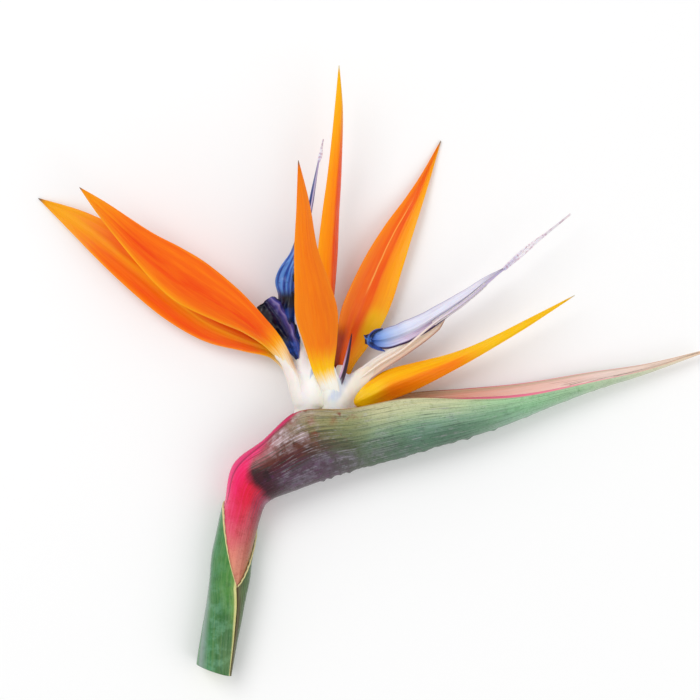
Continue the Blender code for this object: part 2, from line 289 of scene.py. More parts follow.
def stem_place(u, v):
    """v runs out over the cut to its rim, then along the stem, and last over the hidden end."""
    fill = share_of(v, 0, CUT_SHARE)
    t = share_of(v, CUT_SHARE, 1 - END_SHARE)
    closing = share_of(v, 1, 1 - END_SHARE)
    angle = 2 * np.pi * u
    course = smooth(stem_route, t)
    right, up = axes_at(stem_route, t)
    radius = course[:, 3] * fill * closing
    aside, above = radius * np.sin(angle), radius * np.cos(angle)
    slant = aside * np.sin(np.radians(CUT_SLANT)) * share_of(t, SLANT_REACH, 0)
    # the fibres stand a little proud of the flesh, which dries back from the cut
    slant = slant + FIBRES_PROUD * (1 - fill**2) * (t == 0)
    slant = slant + CUT_ROUGH * ripple(above * 2, aside * 2, seed=5)
    points = course[:, :3] + right * aside[:, None] + up * above[:, None]
    return points - heading(stem_route, t) * slant[:, None], {"along": t, "cut": fill}


stem = sheet("stem", stem_flesh, across=64, lengthwise=120, place=stem_place)
settle(stem, "stem")

# the fibre bundles' ends, spread over the cut in the even spiral that a stalk grows in
BUNDLES = 110
BUNDLE_RADIUS = 0.17
BUNDLE_SEED = 7
RIND_WIDE = 0.7
GOLDEN_TURN = np.pi * (3 - 5**0.5)
bundle_end, tree, shader = new_finish("fibre_bundle_ends", roughness=0.6)
spotting = noise(object_place(tree), 1500, 2)
finish_with(shader, ramp(spotting, [(0.3, "6E7F3C"), (0.7, "A9AE6A")]), spotting, depth=0.05)

scatter, given, fed = open_group(
    "fibre bundle ends", "GeometryNodeTree",
    {
        "Cut": "Geometry", "Count": "Int", "Cut Radius": "Float", "Bundle Radius": "Float",
        "Centre": "Vector", "Facing": "Rotation", "Finish": "Material",
    },
    {"Ends": "Geometry"},
)
order = scatter.nodes.new("GeometryNodeInputIndex").outputs[0]
share = calc("DIVIDE", plus(order, 0.5), given["Count"])
reach = times(calc("SQRT", share), given["Cut Radius"])
spin = times(order, GOLDEN_TURN)
flat_place = vector(times(reach, calc("COSINE", spin)), times(reach, calc("SINE", spin)))
turned = put("FunctionNodeRotateVector", flat_place, given["Facing"])
seat = put("ShaderNodeVectorMath", turned, given["Centre"], operation="ADD")
spots = put("GeometryNodePoints", given["Count"], seat)
bead = put("GeometryNodeMeshIcoSphere", given["Bundle Radius"], 2)
size = put("FunctionNodeRandomValue", 0.6, 1.2, None, BUNDLE_SEED, tree=scatter)
beads = put("GeometryNodeInstanceOnPoints", spots, None, bead, None, None, None, size)
whole = put("GeometryNodeRealizeInstances", beads)
ends = put("GeometryNodeSetMaterial", whole, None, given["Finish"])
scatter.links.new(ends, fed["Ends"])


def add(name, data):
    """A new object in the scene, at the origin."""
    made = bpy.data.objects.new(name, data)
    bpy.context.scene.collection.objects.link(made)
    return made


def plain_mesh(piece, name):
    """What the piece's modifiers make of it, as a mesh of its own."""
    shape = bpy.data.meshes.new_from_object(piece.evaluated_get(bpy.context.evaluated_depsgraph_get()))
    shape.name = name
    shape.shade_smooth()
    return shape


def grow(name, start, tree, **inputs):
    """Runs a geometry tree on a mesh and gives the result as a plain piece.

    Inputs go by the tree's labels in small letters, with underscores.
    """
    seed = add(name, start)
    grown = seed.modifiers.new("grown", "NODES")
    grown.node_group = tree
    for item in tree.interface.items_tree:
        label = item.name.lower().replace(" ", "_")
        if item.in_out == "INPUT" and label in inputs:
            grown[item.identifier] = inputs[label]
    shape = plain_mesh(seed, name)
    bpy.data.objects.remove(seed, do_unlink=True)
    return add(name, shape)


cut_centre = tuple(np.array(stem_route[0][:3]) * MM)
cut_facing = Vector((0, 0, 1)).rotation_difference(Vector(-heading(stem_route, 0.0))).to_euler()
bundle_ends = grow(
    "stem_fibre_bundles", bpy.data.meshes.new("seed"), scatter, count=BUNDLES, centre=cut_centre,
    facing=cut_facing, cut_radius=(stem_route[0][3] - RIND_WIDE) * MM, bundle_radius=BUNDLE_RADIUS * MM,
    finish=bundle_end,
)
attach(bundle_ends, BODY)


# Sheath. A tough green bract, wrapped once round the lower stem and open in a V at the front, where its two
# dry margins meet. It was cut through together with the stem.
SHEATH_SEAM = 30  # degrees from the top, where its margins meet
SHEATH_SLIT = 2  # degrees between them
SHEATH_TWIST = 45  # degrees that they turn between the cut and the foot of the V
SHEATH_V_FOOT = 0.46
SHEATH_WALL = 0.6
SHEATH_RIBS = 34
SHEATH_RIB_HIGH = 0.05
SHEATH_DENT = 0.12
SHEATH_HUG = 0.45
SHEATH_HUG_FROM = 0.72
MARGIN_BUNCHING = 0.6
MARGIN_SHARPNESS = 9
sheath_axis = [
    # x, y, z and radius
    (-57.7, -110.3, 6.7, 6.7), (-55.5, -97, 6.9, 6.9), (-53.4, -86, 7.1, 7.1), (-52, -77, 7.4, 7.4),
    (-50.8, -68.5, 7.7, 7.7), (-48.8, -59, 8.2, 8), (-46.6, -49, 8.9, 8.1),
]
# how far up it reaches, from its right margin round the back to its left one
sheath_top = [(0.48,), (0.66,), (0.88,), (0.97,), (0.99,), (0.99,), (0.93,), (0.72,), (0.48,)]


def rings(v, lengthwise):
    """How far along each point's ring lies, and 0 at the two end rings, which close the shape, else 1."""
    ring = np.round(v * lengthwise)
    is_end = (ring == 0) | (ring == lengthwise)
    return share_of(ring, 1, lengthwise - 1), np.where(is_end, 0.0, 1.0)


def shell(name, finish, around, lengthwise, outside, wall):
    """A closed skin inside the surface outside(s, t), with rounded margins at s = 0 and 1.

    Each point keeps s as across, t as along, and whether it is on the inner face. u goes once round the skin,
    out over the outer face and back over the inner one, with its points bunched at the margins.
    """
    step = 0.002

    def place(u, v):
        t, opened = rings(v, lengthwise)
        one_way = 1 - np.abs(1 - 2 * u)
        s = one_way - MARGIN_BUNCHING * np.sin(2 * np.pi * one_way) / (2 * np.pi)
        low_s, high_s = np.clip(s - step, 0, 1), np.clip(s + step, 0, 1)
        low_t, high_t = np.clip(t - step, 0, 1), np.clip(t + step, 0, 1)
        crosswise = outside(high_s, t) - outside(low_s, t)
        normal = unit(np.cross(crosswise, outside(s, high_t) - outside(s, low_t)))
        side = np.tanh(MARGIN_SHARPNESS * np.sin(2 * np.pi * u)) * opened
        depth = wall / 2 * (1 - side)
        return outside(s, t) - normal * depth[:, None], {"across": s, "along": t, "inner": 0.5 - side / 2}

    return sheet(name, finish, around, lengthwise, place)


def minus(value, less):
    return calc("SUBTRACT", value, less)


def scaled(value, by, moved):
    """A value times by, plus moved."""
    return calc("MULTIPLY_ADD", value, by, moved)


def until(start, end, value):
    """1 where a value is below start, and 0 where it is above end."""
    return minus(1.0, fade(value, start, end))


def between(value, rise_from, rise_to, fall_from, fall_to):
    """1 between two soft edges of a value."""
    return times(fade(value, rise_from, rise_to), until(fall_from, fall_to, value))


def stain(under, code, *shares, kind="MIX"):
    """Lays the colour with a code over another, as strongly as the product of the shares."""
    return tint(times(*shares), under, hue(code), kind)


# fibres that run the length of a plant surface, which nearly every finish below has
plant_fibres, given, fed = open_group(
    "plant fibres", "ShaderNodeTree",
    {"Across": "Float", "Along": "Float", "Fineness": "Float", "Stretch": "Float", "Seed": "Float"},
    {"Streaks": "Float", "Height": "Float"},
)
fibres_along = calc("DIVIDE", times(given["Along"], given["Fineness"]), given["Stretch"])
fibre_place = vector(times(given["Across"], given["Fineness"]), fibres_along, given["Seed"])
fibre_noise = noise(fibre_place, 1.0, 4.0, 0.6)
plant_fibres.links.new(fade(fibre_noise, 0.4, 0.66), fed["Streaks"])
plant_fibres.links.new(fibre_noise, fed["Height"])

# soft blotches in the flesh, placed by the object's own coordinates
plant_blotches, given, fed = open_group(
    "plant blotches", "ShaderNodeTree",
    {"Place": "Vector", "Size": "Float", "Cover": "Float", "Softness": "Float"}, {"Mask": "Float"},
)
blotch_noise = noise(given["Place"], calc("DIVIDE", 1.0 / MM, given["Size"]), 4.0, 0.6)
blotch_edge = minus(1.0, given["Cover"])
blotch_end = plus(blotch_edge, given["Softness"])
plant_blotches.links.new(fade(blotch_noise, blotch_edge, blotch_end), fed["Mask"])


def group(shared, output, *places, **sizes):
    """Places a shared node group in the tree that its places come from, and gives one of its outputs."""
    tree = places[0].id_data
    placed = tree.nodes.new("ShaderNodeGroup")
    placed.node_tree = shared
    for socket, place in zip(placed.inputs, places):
        tree.links.new(place, socket)
    for label, size in sizes.items():
        placed.inputs[label.title()].default_value = size
    return placed.outputs[output]


sheath_green, tree, shader = new_finish("sheath_green", roughness=0.45, coat=0.05)
place = object_place(tree)
across, along = kept(tree, "across"), kept(tree, "along")
fibres = group(plant_fibres, "Streaks", across, along, fineness=60.0, stretch=14.0, seed=1.0)
fibre_height = group(plant_fibres, "Height", across, along, fineness=110.0, stretch=22.0, seed=2.0)
low = until(0.1, 0.9, along)
colour = ramp(across, [
    (0, "464E2A"), (0.1, "385424"), (0.3, "326034"), (0.62, "568A60"), (0.75, "3E7C4A"), (0.93, "488236"),
    (1, "7E9E3C"),
])
shaded = times(fade(across, 0.74, 0.86), fade(low, 0.3, 0.9))
colour = stain(colour, "2C6030", shaded, 0.85)
patches = group(plant_blotches, "Mask", place, size=4.2, cover=0.56, softness=0.22)
bloom = times(patches, scaled(low, 0.34, 0.14))
bloom_colour = ramp(across, [(0, "58684A"), (0.5, "5E9078"), (0.8, "74AC90"), (1, "6FA468")])
colour = tint(bloom, colour, bloom_colour)
dark = group(plant_blotches, "Mask", place, size=2.4, cover=0.5, softness=0.16)
colour = stain(colour, "255C2C", dark, 0.4)
colour = stain(colour, "9DB878", fibres, 0.16)
left_rim = between(across, 0.6, 0.66, 0.66, 0.76)
colour = stain(colour, "A9AEB4", left_rim, 0.5)
# the left margin is pale and dry. The right one, which it laps over, is thin and brown
margin = fade(across, 0.962, 0.982)
colour = tint(margin, colour, ramp(fibre_height, [(0.3, "C9C56E"), (0.7, "E6DEA0")]))
colour = stain(colour, "5A4A2C", until(0.006, 0.05, across), 0.8)
top_rim = fade(along, 0.972, 0.988)
colour = tint(top_rim, colour, ramp(fibre_height, [(0.3, "C2B070"), (0.7, "EADFA6")]))
cut_edge = calc("LESS_THAN", along, 0.0005)
colour = tint(cut_edge, colour, ramp(patches, [(0, "A9B978"), (1, "5C7F45")]))
colour = stain(colour, "C8CFA2", fade(kept(tree, "inner"), 0.4, 0.7))
finish_with(shader, colour, fibre_height, depth=0.12, roughness=ramp(patches, [(0, "6A6A6A"), (1, "8A8A8A")]))


def sheath_outside(s, v):
    t = v * smooth(sheath_top, s)[..., 0]
    twist = SHEATH_TWIST * np.maximum(0, 1 - t / SHEATH_V_FOOT)
    angle = np.radians(SHEATH_SEAM + SHEATH_SLIT / 2 + twist + (360 - SHEATH_SLIT) * s)
    course = smooth(sheath_axis, t)
    right, up = axes_at(sheath_axis, t)
    ribs = SHEATH_RIB_HIGH * np.sin(s * 2 * np.pi * SHEATH_RIBS + 2 * ripple(s * 3, t * 6, seed=3))
    relief = ribs + SHEATH_DENT * ripple(s * 9, t * 16, seed=8)
    # its top lies close against the neck
    radius = course[..., 3] + relief - SHEATH_HUG * share_of(v, SHEATH_HUG_FROM, 1)
    slant = radius * np.sin(angle) * np.sin(np.radians(CUT_SLANT)) * (1 - v)
    arm = right * np.sin(angle)[..., None] + up * np.cos(angle)[..., None]
    points = course[..., :3] + arm * radius[..., None] - heading(sheath_axis, t) * slant[..., None]
    points[..., 2] = np.maximum(points[..., 2], 0)
    return points


sheath = shell(
    "stem_sheath", sheath_green, around=256, lengthwise=110, outside=sheath_outside, wall=SHEATH_WALL,
)
settle(sheath, "stem_sheath")


# Spathe. One long stiff bract, folded along its keel into a boat. Its lower end closes round the neck, where
# it is flushed pink, and its two lips part towards the tip. Its skin is waxy, fibrous and scuffed, and its
# keel is worn.
SPATHE_WALL = 0.9
SPATHE_RIBS = 30
SPATHE_RIB_HIGH = 0.018
SPATHE_DENT = 0.16
SPATHE_SQUARENESS = 0.25
KEEL_WIDE = 0.035
KEEL_CHAFE = 0.55
LIP_FLARE = 0.5
NECK_REACH = 176  # degrees that a half turns from the keel to its lip, at the neck
OPEN_REACH = 100
spathe_rows = [
    # x and y of the keel, x and y of the near lip, how much further the far lip stands out, the height above
    # the table of the middle, half the depth, and how many degrees each half turns from the keel to its lip
    (-47.5, -87.2, -59.1, -84.8, 0, 7.1, 5.9, 176),
    (-44.5, -70.0, -57.4, -67.0, 0, 7.6, 6.6, 176),
    (-40.2, -52.9, -53.9, -48.8, 0, 8.8, 7, 175),
    (-36.5, -47.4, -50.7, -33.8, 0, 10.3, 8.6, 166),
    (-28.5, -43.8, -40.0, -24.9, 0, 11, 9.8, 150),
    (-14.0, -38.8, -26.4, -14.0, 0, 11.1, 10.9, 122),
    (1.0, -34.2, -7.2, -12.9, 0, 11.1, 11, 108),
    (19.7, -29.2, 13.4, -9.2, 1.5, 10.9, 10.6, 110),
    (42.9, -22.1, 36.9, -8.9, 3.4, 9.6, 8.4, 116),
    (62.6, -14.6, 58.9, -7.5, 4.2, 8, 6.2, 118),
    (83.4, -6.8, 81.9, -3.1, 3.4, 6.6, 4, 118),
    (104.0, -0.1, 103.3, 1.3, 2.2, 5.4, 2.2, 118),
    (123.7, 7.0, 123.4, 7.7, 0.5, 4.4, 0.8, 110),
]


def spathe_outside(s, t):
    """s runs from the near lip over the keel to the far one, and t from the neck's foot to the tip."""
    kx, ky, lx, ly, far, middle, half, reach = smooth(spathe_rows, t).T
    turn = np.radians(reach) * (1 - 2 * s)
    keel = np.stack((kx, ky, middle), -1)
    gap = np.stack((lx, ly, middle), -1) - keel
    length = np.linalg.norm(gap, axis=-1)
    height = length + np.where(turn < 0, far, 0)
    roundness = 1 - SPATHE_SQUARENESS * (NECK_REACH - reach) / (NECK_REACH - OPEN_REACH)
    share = ((1 - np.cos(turn)) / (1 - np.cos(np.radians(reach)))) ** roundness
    # fine ribs, slow dents and a chafed keel
    near_keel = np.exp(-(((s - 0.5) / KEEL_WIDE) ** 2))
    chafed = share_of(t, 0.3, 0.4) * share_of(t, 0.9, 0.7)
    chafe = np.maximum(ripple(t * 230, s * 9, seed=21), 0)
    chafe = chafe - 0.45 * np.maximum(ripple(t * 520, s * 5, seed=22), 0)
    ribs = SPATHE_RIB_HIGH * np.sin(s * 2 * np.pi * SPATHE_RIBS + 1.5 * ripple(s * 4, t * 9, seed=4))
    relief = ribs + SPATHE_DENT * ripple(s * 10, t * 22, seed=6) + KEEL_CHAFE * chafe * near_keel * chafed
    relief = relief * share_of(t, 1, 0.88)
    lip_out = LIP_FLARE * np.exp(-s / 0.03) * share_of(t, 0.42, 0.52) * share_of(t, 1, 0.75)
    body = half + relief + lip_out
    points = keel + gap / length[..., None] * (height * share - relief * near_keel)[..., None]
    points[..., 2] += body * np.sin(turn)
    points[..., 2] = np.maximum(points[..., 2], 0)
    return points


spathe_skin, tree, shader = new_finish("spathe_skin", roughness=0.45, coat=0.05)
place = object_place(tree)
across, along = kept(tree, "across"), kept(tree, "along")
fibres = group(plant_fibres, "Streaks", across, along, fineness=70.0, stretch=8.0, seed=3.0)
fine_fibres = group(plant_fibres, "Height", across, along, fineness=170.0, stretch=14.0, seed=4.0)
scuffs = group(plant_fibres, "Streaks", across, along, fineness=110.0, stretch=6.0, seed=9.0)
mottle = noise(place, 330, 5, 0.62)
along_skin = plus(along, scaled(noise(place, 70, 4, 0.6), 0.08, -0.04))
rise = calc("ABSOLUTE", minus(times(across, 2.0), 1.0))
rise_skin = plus(rise, scaled(fibres, 0.12, -0.06))
# the green boat, light at its lips and bleached towards its tip
colour = ramp(rise_skin, [
    (0, "4C6E54"), (0.14, "4C7058"), (0.4, "5E826A"), (0.55, "7A9E82"), (0.8, "AAC69A"), (1, "B8C292"),
])
far_skin = ramp(rise_skin, [(0, "9CC0A6"), (0.5, "8CBE90"), (1, "A8D2A2")])
colour = tint(fade(along_skin, 0.62, 0.76), colour, far_skin)
colour = stain(colour, "C4D2B2", fade(along_skin, 0.74, 0.9))
colour = stain(colour, "E4D4BA", fade(along_skin, 0.86, 0.97))
colour = stain(colour, "E8C8AC", fade(along_skin, 0.95, 1.0))
# towards the bend it turns olive, then brown and purple, with a brown streak along its middle
shoulder = ramp(rise_skin, [(0, "46583E"), (0.5, "59684A"), (0.8, "8E8E5E"), (1, "A3946C")])
colour = tint(until(0.47, 0.6, along_skin), colour, shoulder)
bruise = ramp(rise_skin, [(0, "4C3842"), (0.45, "48283A"), (0.7, "663A30"), (1, "A17A70")])
bruise_reach = plus(along_skin, scaled(fade(rise_skin, 0.25, 0.6), 0.05, -0.04))
colour = tint(until(0.37, 0.48, bruise_reach), colour, bruise)
brown_streak = times(between(rise_skin, 0.52, 0.62, 0.66, 0.78), between(along_skin, 0.28, 0.32, 0.4, 0.48))
colour = stain(colour, "5E2418", brown_streak, 0.8)
red_edge = times(between(rise_skin, 0.42, 0.5, 0.54, 0.62), between(along_skin, 0.27, 0.3, 0.41, 0.52))
colour = stain(colour, "4A0E18", red_edge, 0.7)
deep_bruise = times(until(0.28, 0.34, along_skin), until(0.6, 0.8, rise_skin))
colour = stain(colour, "3A0A1A", deep_bruise, 0.92)
lip_flush = times(fade(rise_skin, 0.64, 0.8), until(0.32, 0.38, along_skin))
colour = stain(colour, "B4465A", lip_flush, 0.75)
dried = group(plant_blotches, "Mask", place, size=2.6, cover=0.5, softness=0.12)
dried_part = times(between(along_skin, 0.24, 0.27, 0.33, 0.36), until(0.2, 0.34, rise_skin))
colour = stain(colour, "16080C", dried, dried_part, 0.9)
# the neck is flushed red, cooler at its lips, brownish at its keel, and salmon and cream at its foot
flush_along = minus(along_skin, times(fade(rise, 0.55, 0.95), 0.08))
flush = ramp(rise_skin, [
    (0, "7A4A5A"), (0.25, "98324C"), (0.48, "DC1236"), (0.72, "F01A66"), (1, "EC4A8C"),
])
colour = tint(until(0.24, 0.278, flush_along), colour, flush)
pale_flush = ramp(rise_skin, [(0, "87564E"), (0.3, "B4444E"), (0.6, "D84A6C"), (1, "E58FA0")])
colour = tint(until(0.1, 0.22, along_skin), colour, pale_flush)
foot = ramp(rise_skin, [(0, "A88E50"), (0.25, "C07A60"), (0.5, "E8A080"), (1, "E6CC9A")])
colour = tint(until(0.04, 0.16, along_skin), colour, foot)
# cream at the lips beside the last sepal, then mottling, dark lines, pale scratches and a grey bloom over all
creamy = times(fade(rise, 0.55, 0.9), between(along, 0.49, 0.55, 0.61, 0.7))
colour = stain(colour, "DCD0A8", creamy, 0.5)
colour = stain(colour, "2E3A30", fade(mottle, 0.5, 0.72), 0.45, kind="SOFT_LIGHT")
green_part = between(along, 0.4, 0.5, 0.85, 0.97)
haze = times(group(plant_blotches, "Mask", place, size=8.0, cover=0.52, softness=0.25), green_part)
colour = stain(colour, "8499A0", haze, fibres, 0.4)
dark_lines = times(until(0.34, 0.5, fine_fibres), between(along, 0.25, 0.32, 0.8, 0.95))
colour = stain(colour, "2A3C2C", dark_lines, 0.68)
worn = between(along, 0.28, 0.36, 0.66, 0.9)
scratches = times(fade(scuffs, 0.45, 1.0), worn, fade(mottle, 0.42, 0.62))
colour = stain(colour, "CCC4CC", scratches, 0.3)
veil = times(between(rise_skin, 0.04, 0.16, 0.34, 0.48), between(along_skin, 0.3, 0.35, 0.46, 0.62))
veil = times(veil, scaled(fade(mottle, 0.42, 0.6), 0.75, 0.25))
colour = stain(colour, "8E8698", veil, 0.38)
grain = noise(place, 1400, 3, 0.6)
colour = stain(colour, "B9B4B4", fade(grain, 0.5, 0.68), 0.22, kind="SOFT_LIGHT")
colour = stain(colour, "20241E", until(0.34, 0.48, grain), 0.3, kind="SOFT_LIGHT")
keel_rim = times(until(0.02, 0.07, rise), between(along, 0.2, 0.3, 0.75, 0.9))
colour = stain(colour, "4E5650", keel_rim, 0.45)
# dry scabs and a whitish scrape beside the flowers' bases
scrape = times(fade(rise, 0.56, 0.72), between(along, 0.32, 0.36, 0.41, 0.46))
scrape_marks = group(plant_blotches, "Mask", place, size=3.4, cover=0.6, softness=0.3)
scrape_marks = times(scrape_marks, scaled(fade(scuffs, 0.2, 0.9), 0.6, 0.4))
colour = stain(colour, "D9C6CE", scrape, scrape_marks, 0.9)
purple_marks = group(plant_blotches, "Mask", place, size=2.2, cover=0.5, softness=0.2)
purple_marks = times(purple_marks, between(along, 0.26, 0.3, 0.42, 0.5), until(0.4, 0.6, rise))
colour = stain(colour, "5E2A58", purple_marks, 0.5)
scabs = group(plant_blotches, "Mask", place, size=4.6, cover=0.44, softness=0.12)
scab_part = times(fade(rise, 0.5, 0.7), between(along, 0.34, 0.38, 0.48, 0.53))
colour = stain(colour, "7A3C2A", scabs, scab_part, 0.85)


def spot(place, centre, size, softness):
    """1 within an uneven spot round a centre, both in millimetres."""
    away = put("ShaderNodeVectorMath", place, tuple(np.array(centre) * MM), operation="DISTANCE")
    uneven = scaled(noise(place, 700, 3), size * MM, away.node.outputs["Value"])
    return until((size - softness) * MM, (size + softness) * MM, uneven)


# a dark spot and a pale one at the bend, and a rusty one below each base
colour = stain(colour, "180C0F", spot(place, (-37.6, -37.2, 18.8), 3.3, 1.4), 0.9)
colour = stain(colour, "B79AB0", spot(place, (-38.5, -46.6, 12), 3.4, 1.6), 0.5)
for centre in ((-21.5, -17.4, 21), (-13.4, -17.6, 21)):
    colour = stain(colour, "8E4030", spot(place, centre, 2.6, 1.4), 0.6)
# the lips' margins: hot pink by the bend, a thin brown line beside the flowers, then dull red to bright pink
margin_colour = ramp(along, [
    (0, "DCC08E"), (0.14, "EC8FA4"), (0.2, "F0287A"), (0.4, "C2285C"), (0.45, "A08058"), (0.5, "B09464"),
    (0.57, "AA8A5C"), (0.62, "9A6A50"), (0.66, "C0586A"), (0.74, "E4708C"), (0.88, "F0A8AE"),
    (1, "E6C2A2"),
])
by_bend = between(along, 0.12, 0.2, 0.38, 0.43)
far_half = between(along, 0.6, 0.75, 0.9, 1.0)
narrowing = scaled(fade(along, 0.24, 0.36), -0.1, 0.15)
margin_wide = scaled(by_bend, narrowing, scaled(far_half, 0.1, 0.022))
margin_from = minus(0.995, margin_wide)
margin = fade(rise, margin_from, plus(margin_from, 0.03))
colour = tint(margin, colour, margin_colour)
# painted shadow: a dark red line just inside the lips' margins by the bend
painted_shadow_line = between(rise, minus(margin_from, 0.02), margin_from, margin_from, plus(margin_from, 0.035))
colour = stain(colour, "8E0F3C", painted_shadow_line, by_bend, 0.8)
inside = ramp(along, [
    (0, "F2D9D0"), (0.45, "C4B08C"), (0.58, "DDBE9E"), (0.66, "F2B6A2"), (0.74, "FAD2C6"),
    (0.86, "FFEAE2"), (1, "F2D8C0"),
])
inside = stain(inside, "F7E6DC", fibres, 0.3)
inside = stain(inside, "A89C74", between(rise, 0.88, 0.97, 1.1, 1.2), 0.6)
colour = tint(fade(kept(tree, "inner"), 0.55, 0.8), colour, inside)
relief = plus(fine_fibres, times(mottle, 0.8))
finish_with(shader, colour, relief, depth=0.08, roughness=ramp(scuffs, [(0, "6E6E6E"), (1, "9A9A9A")]))

spathe = shell("spathe", spathe_skin, around=200, lengthwise=340, outside=spathe_outside, wall=SPATHE_WALL)
settle(spathe, "spathe")


# White bases. Each flower rises from the boat on a thick, smooth, watery stalk. The feet of its sepals and of
# its blue petals grow out of that stalk, webbed together with the same white flesh.
BASE_VOXEL = 0.42
BASE_SMOOTHING = 36
LIMB_END = 0.06
# the pale blue stripe down a base: where it crosses y = 0, and how far x runs with each millimetre of y
BLUE_FOOT = -7.9
BLUE_LEAN = 0.56


def limb(points, around=28, lengthwise=40):
    """A stalk with round ends. Each point has x, y, z, radius, how much wider than deep it is, and roll."""

    def place(u, v):
        t = np.clip((v - LIMB_END) / (1 - 2 * LIMB_END), 0, 1)
        past_end = np.maximum(np.abs(2 * v - 1) - (1 - 2 * LIMB_END), 0) / (2 * LIMB_END)
        course = smooth(points, t)
        radius = course[:, 3] * np.sqrt(np.maximum(1 - past_end**2, 0))
        side, face = axes_at(points, t, course[:, 5])
        turn = -2 * np.pi * u
        wide, deep = np.cos(turn) * radius * course[:, 4], np.sin(turn) * radius
        return course[:, :3] + (side * wide[:, None] + face * deep[:, None]), {}

    return sheet("limb", base_white, around, lengthwise, place)


def fleshy(name, limbs):
    """Limbs grown together: joined, closed over with one even skin and smoothed."""
    made = bmesh.new()
    for points in limbs:
        part = limb(points)
        made.from_mesh(part.data)
        bpy.data.objects.remove(part, do_unlink=True)
    body = bpy.data.meshes.new(name)
    made.to_mesh(body)
    made.free()
    body.materials.append(base_white)
    piece = add(name, body)
    skin = piece.modifiers.new("skin", "REMESH")
    skin.mode = "VOXEL"
    skin.voxel_size = BASE_VOXEL * MM
    even = piece.modifiers.new("even", "SMOOTH")
    even.factor = 0.5
    even.iterations = BASE_SMOOTHING
    shape = plain_mesh(piece, name)
    piece.modifiers.clear()
    piece.data = shape
    return piece


base_white, tree, shader = new_finish("base_white", roughness=0.38, coat=0.1, glow=0.25)
place = object_place(tree)
x_at, y_at = put("ShaderNodeSeparateXYZ", place).node.outputs[:2]
per_mm_x, per_mm_y = times(x_at, 0.9 / MM), times(y_at, 0.9 / MM)
flesh_fibres = group(plant_fibres, "Height", per_mm_x, per_mm_y, fineness=1.3, stretch=9.0, seed=5.0)
slow = noise(place, 160, 3)
colour = ramp(fade(x_at, -35 * MM, 4 * MM), [
    (0, "F3E6DC"), (0.2, "F5F0F0"), (0.42, "FAF7EA"), (0.58, "F4F6F6"), (0.72, "FAF5EC"), (1, "F6E2CC"),
])
colour = stain(colour, "DEE4D4", fade(slow, 0.5, 0.7), 0.3)
# the pale blue stripe runs down from the small petal's foot
beside = calc("ABSOLUTE", minus(x_at, scaled(y_at, BLUE_LEAN, BLUE_FOOT * MM)))
blue_part = between(y_at, -12.5 * MM, -8 * MM, -1 * MM, 4 * MM)
blue_part = times(until(1 * MM, 3.2 * MM, beside), blue_part)
colour = stain(colour, "B0BEE2", scaled(fade(flesh_fibres, 0.3, 0.75), 0.5, 0.5), blue_part, 0.7)
finish_with(shader, colour, flesh_fibres, depth=0.12)

base_1 = fleshy("flower_1_base", [
    # the stalk
    [
        (-34.3, -30.2, 11.2, 1.9, 1, 0), (-29.6, -25.4, 11, 3.4, 1, 0), (-24.2, -18, 10.7, 4.2, 1.1, 0),
        (-22.3, -9, 10.8, 4.2, 1.15, 0), (-23, -4, 10.9, 3.3, 1.4, 0), (-24.1, 1.4, 10.9, 2.2, 1.7, 0),
        (-25.4, 6.6, 10.8, 1.2, 2.2, 0), (-26.4, 11.6, 10.7, 0.4, 3.4, 0),
    ],
    # the feet of the lower, the upper and the keeled sepal
    [
        (-25, -12, 9, 2.8, 1.2, 30), (-27, -6, 8, 2.3, 1.4, 40), (-29, -0.6, 7.2, 1.6, 1.9, 38),
        (-31.2, 3.4, 6.6, 0.9, 3, 32), (-33.5, 6.2, 6.3, 0.35, 8, 25),
    ],
    [
        (-25, -12, 12.2, 2.8, 1.2, -30), (-27, -5.6, 12.6, 2.3, 1.4, -40), (-29, 0.2, 13.1, 1.6, 1.9, -38),
        (-31.4, 4.8, 13.8, 0.9, 3, -31), (-33.6, 8, 14.4, 0.35, 8, -25),
    ],
    [
        (-18.4, -12.6, 10.8, 3, 1.1, 90), (-17.4, -6, 10.7, 2.3, 1.3, 80), (-16.8, -1, 10.7, 1.4, 2, 70),
        (-16.3, 3, 10.7, 0.4, 7, 60),
    ],
    # the flesh that fans out between the two side sepals, and in front of the arrow's foot
    [
        (-22.6, -10, 10.6, 4.2, 1.2, 0), (-25.4, -4.5, 10.2, 3.4, 1.2, 0), (-28, -0.4, 10.1, 2.3, 1.2, 0),
        (-30.8, 3.8, 10.2, 1.5, 1.3, 0), (-33.6, 7.4, 10.3, 0.8, 1.4, 0), (-36.2, 10.2, 10.4, 0.3, 1.6, 0),
    ],
    [
        (-21, -12, 11.6, 3.6, 1.1, 0), (-20.4, -6, 11.9, 3, 1.2, 0), (-20, -0.6, 12, 2.1, 1.35, 0),
        (-19.8, 4.4, 11.8, 1.2, 1.6, 0), (-19.8, 9, 11.6, 0.4, 2.4, 0),
    ],
])
settle(base_1, "flower_1_base")
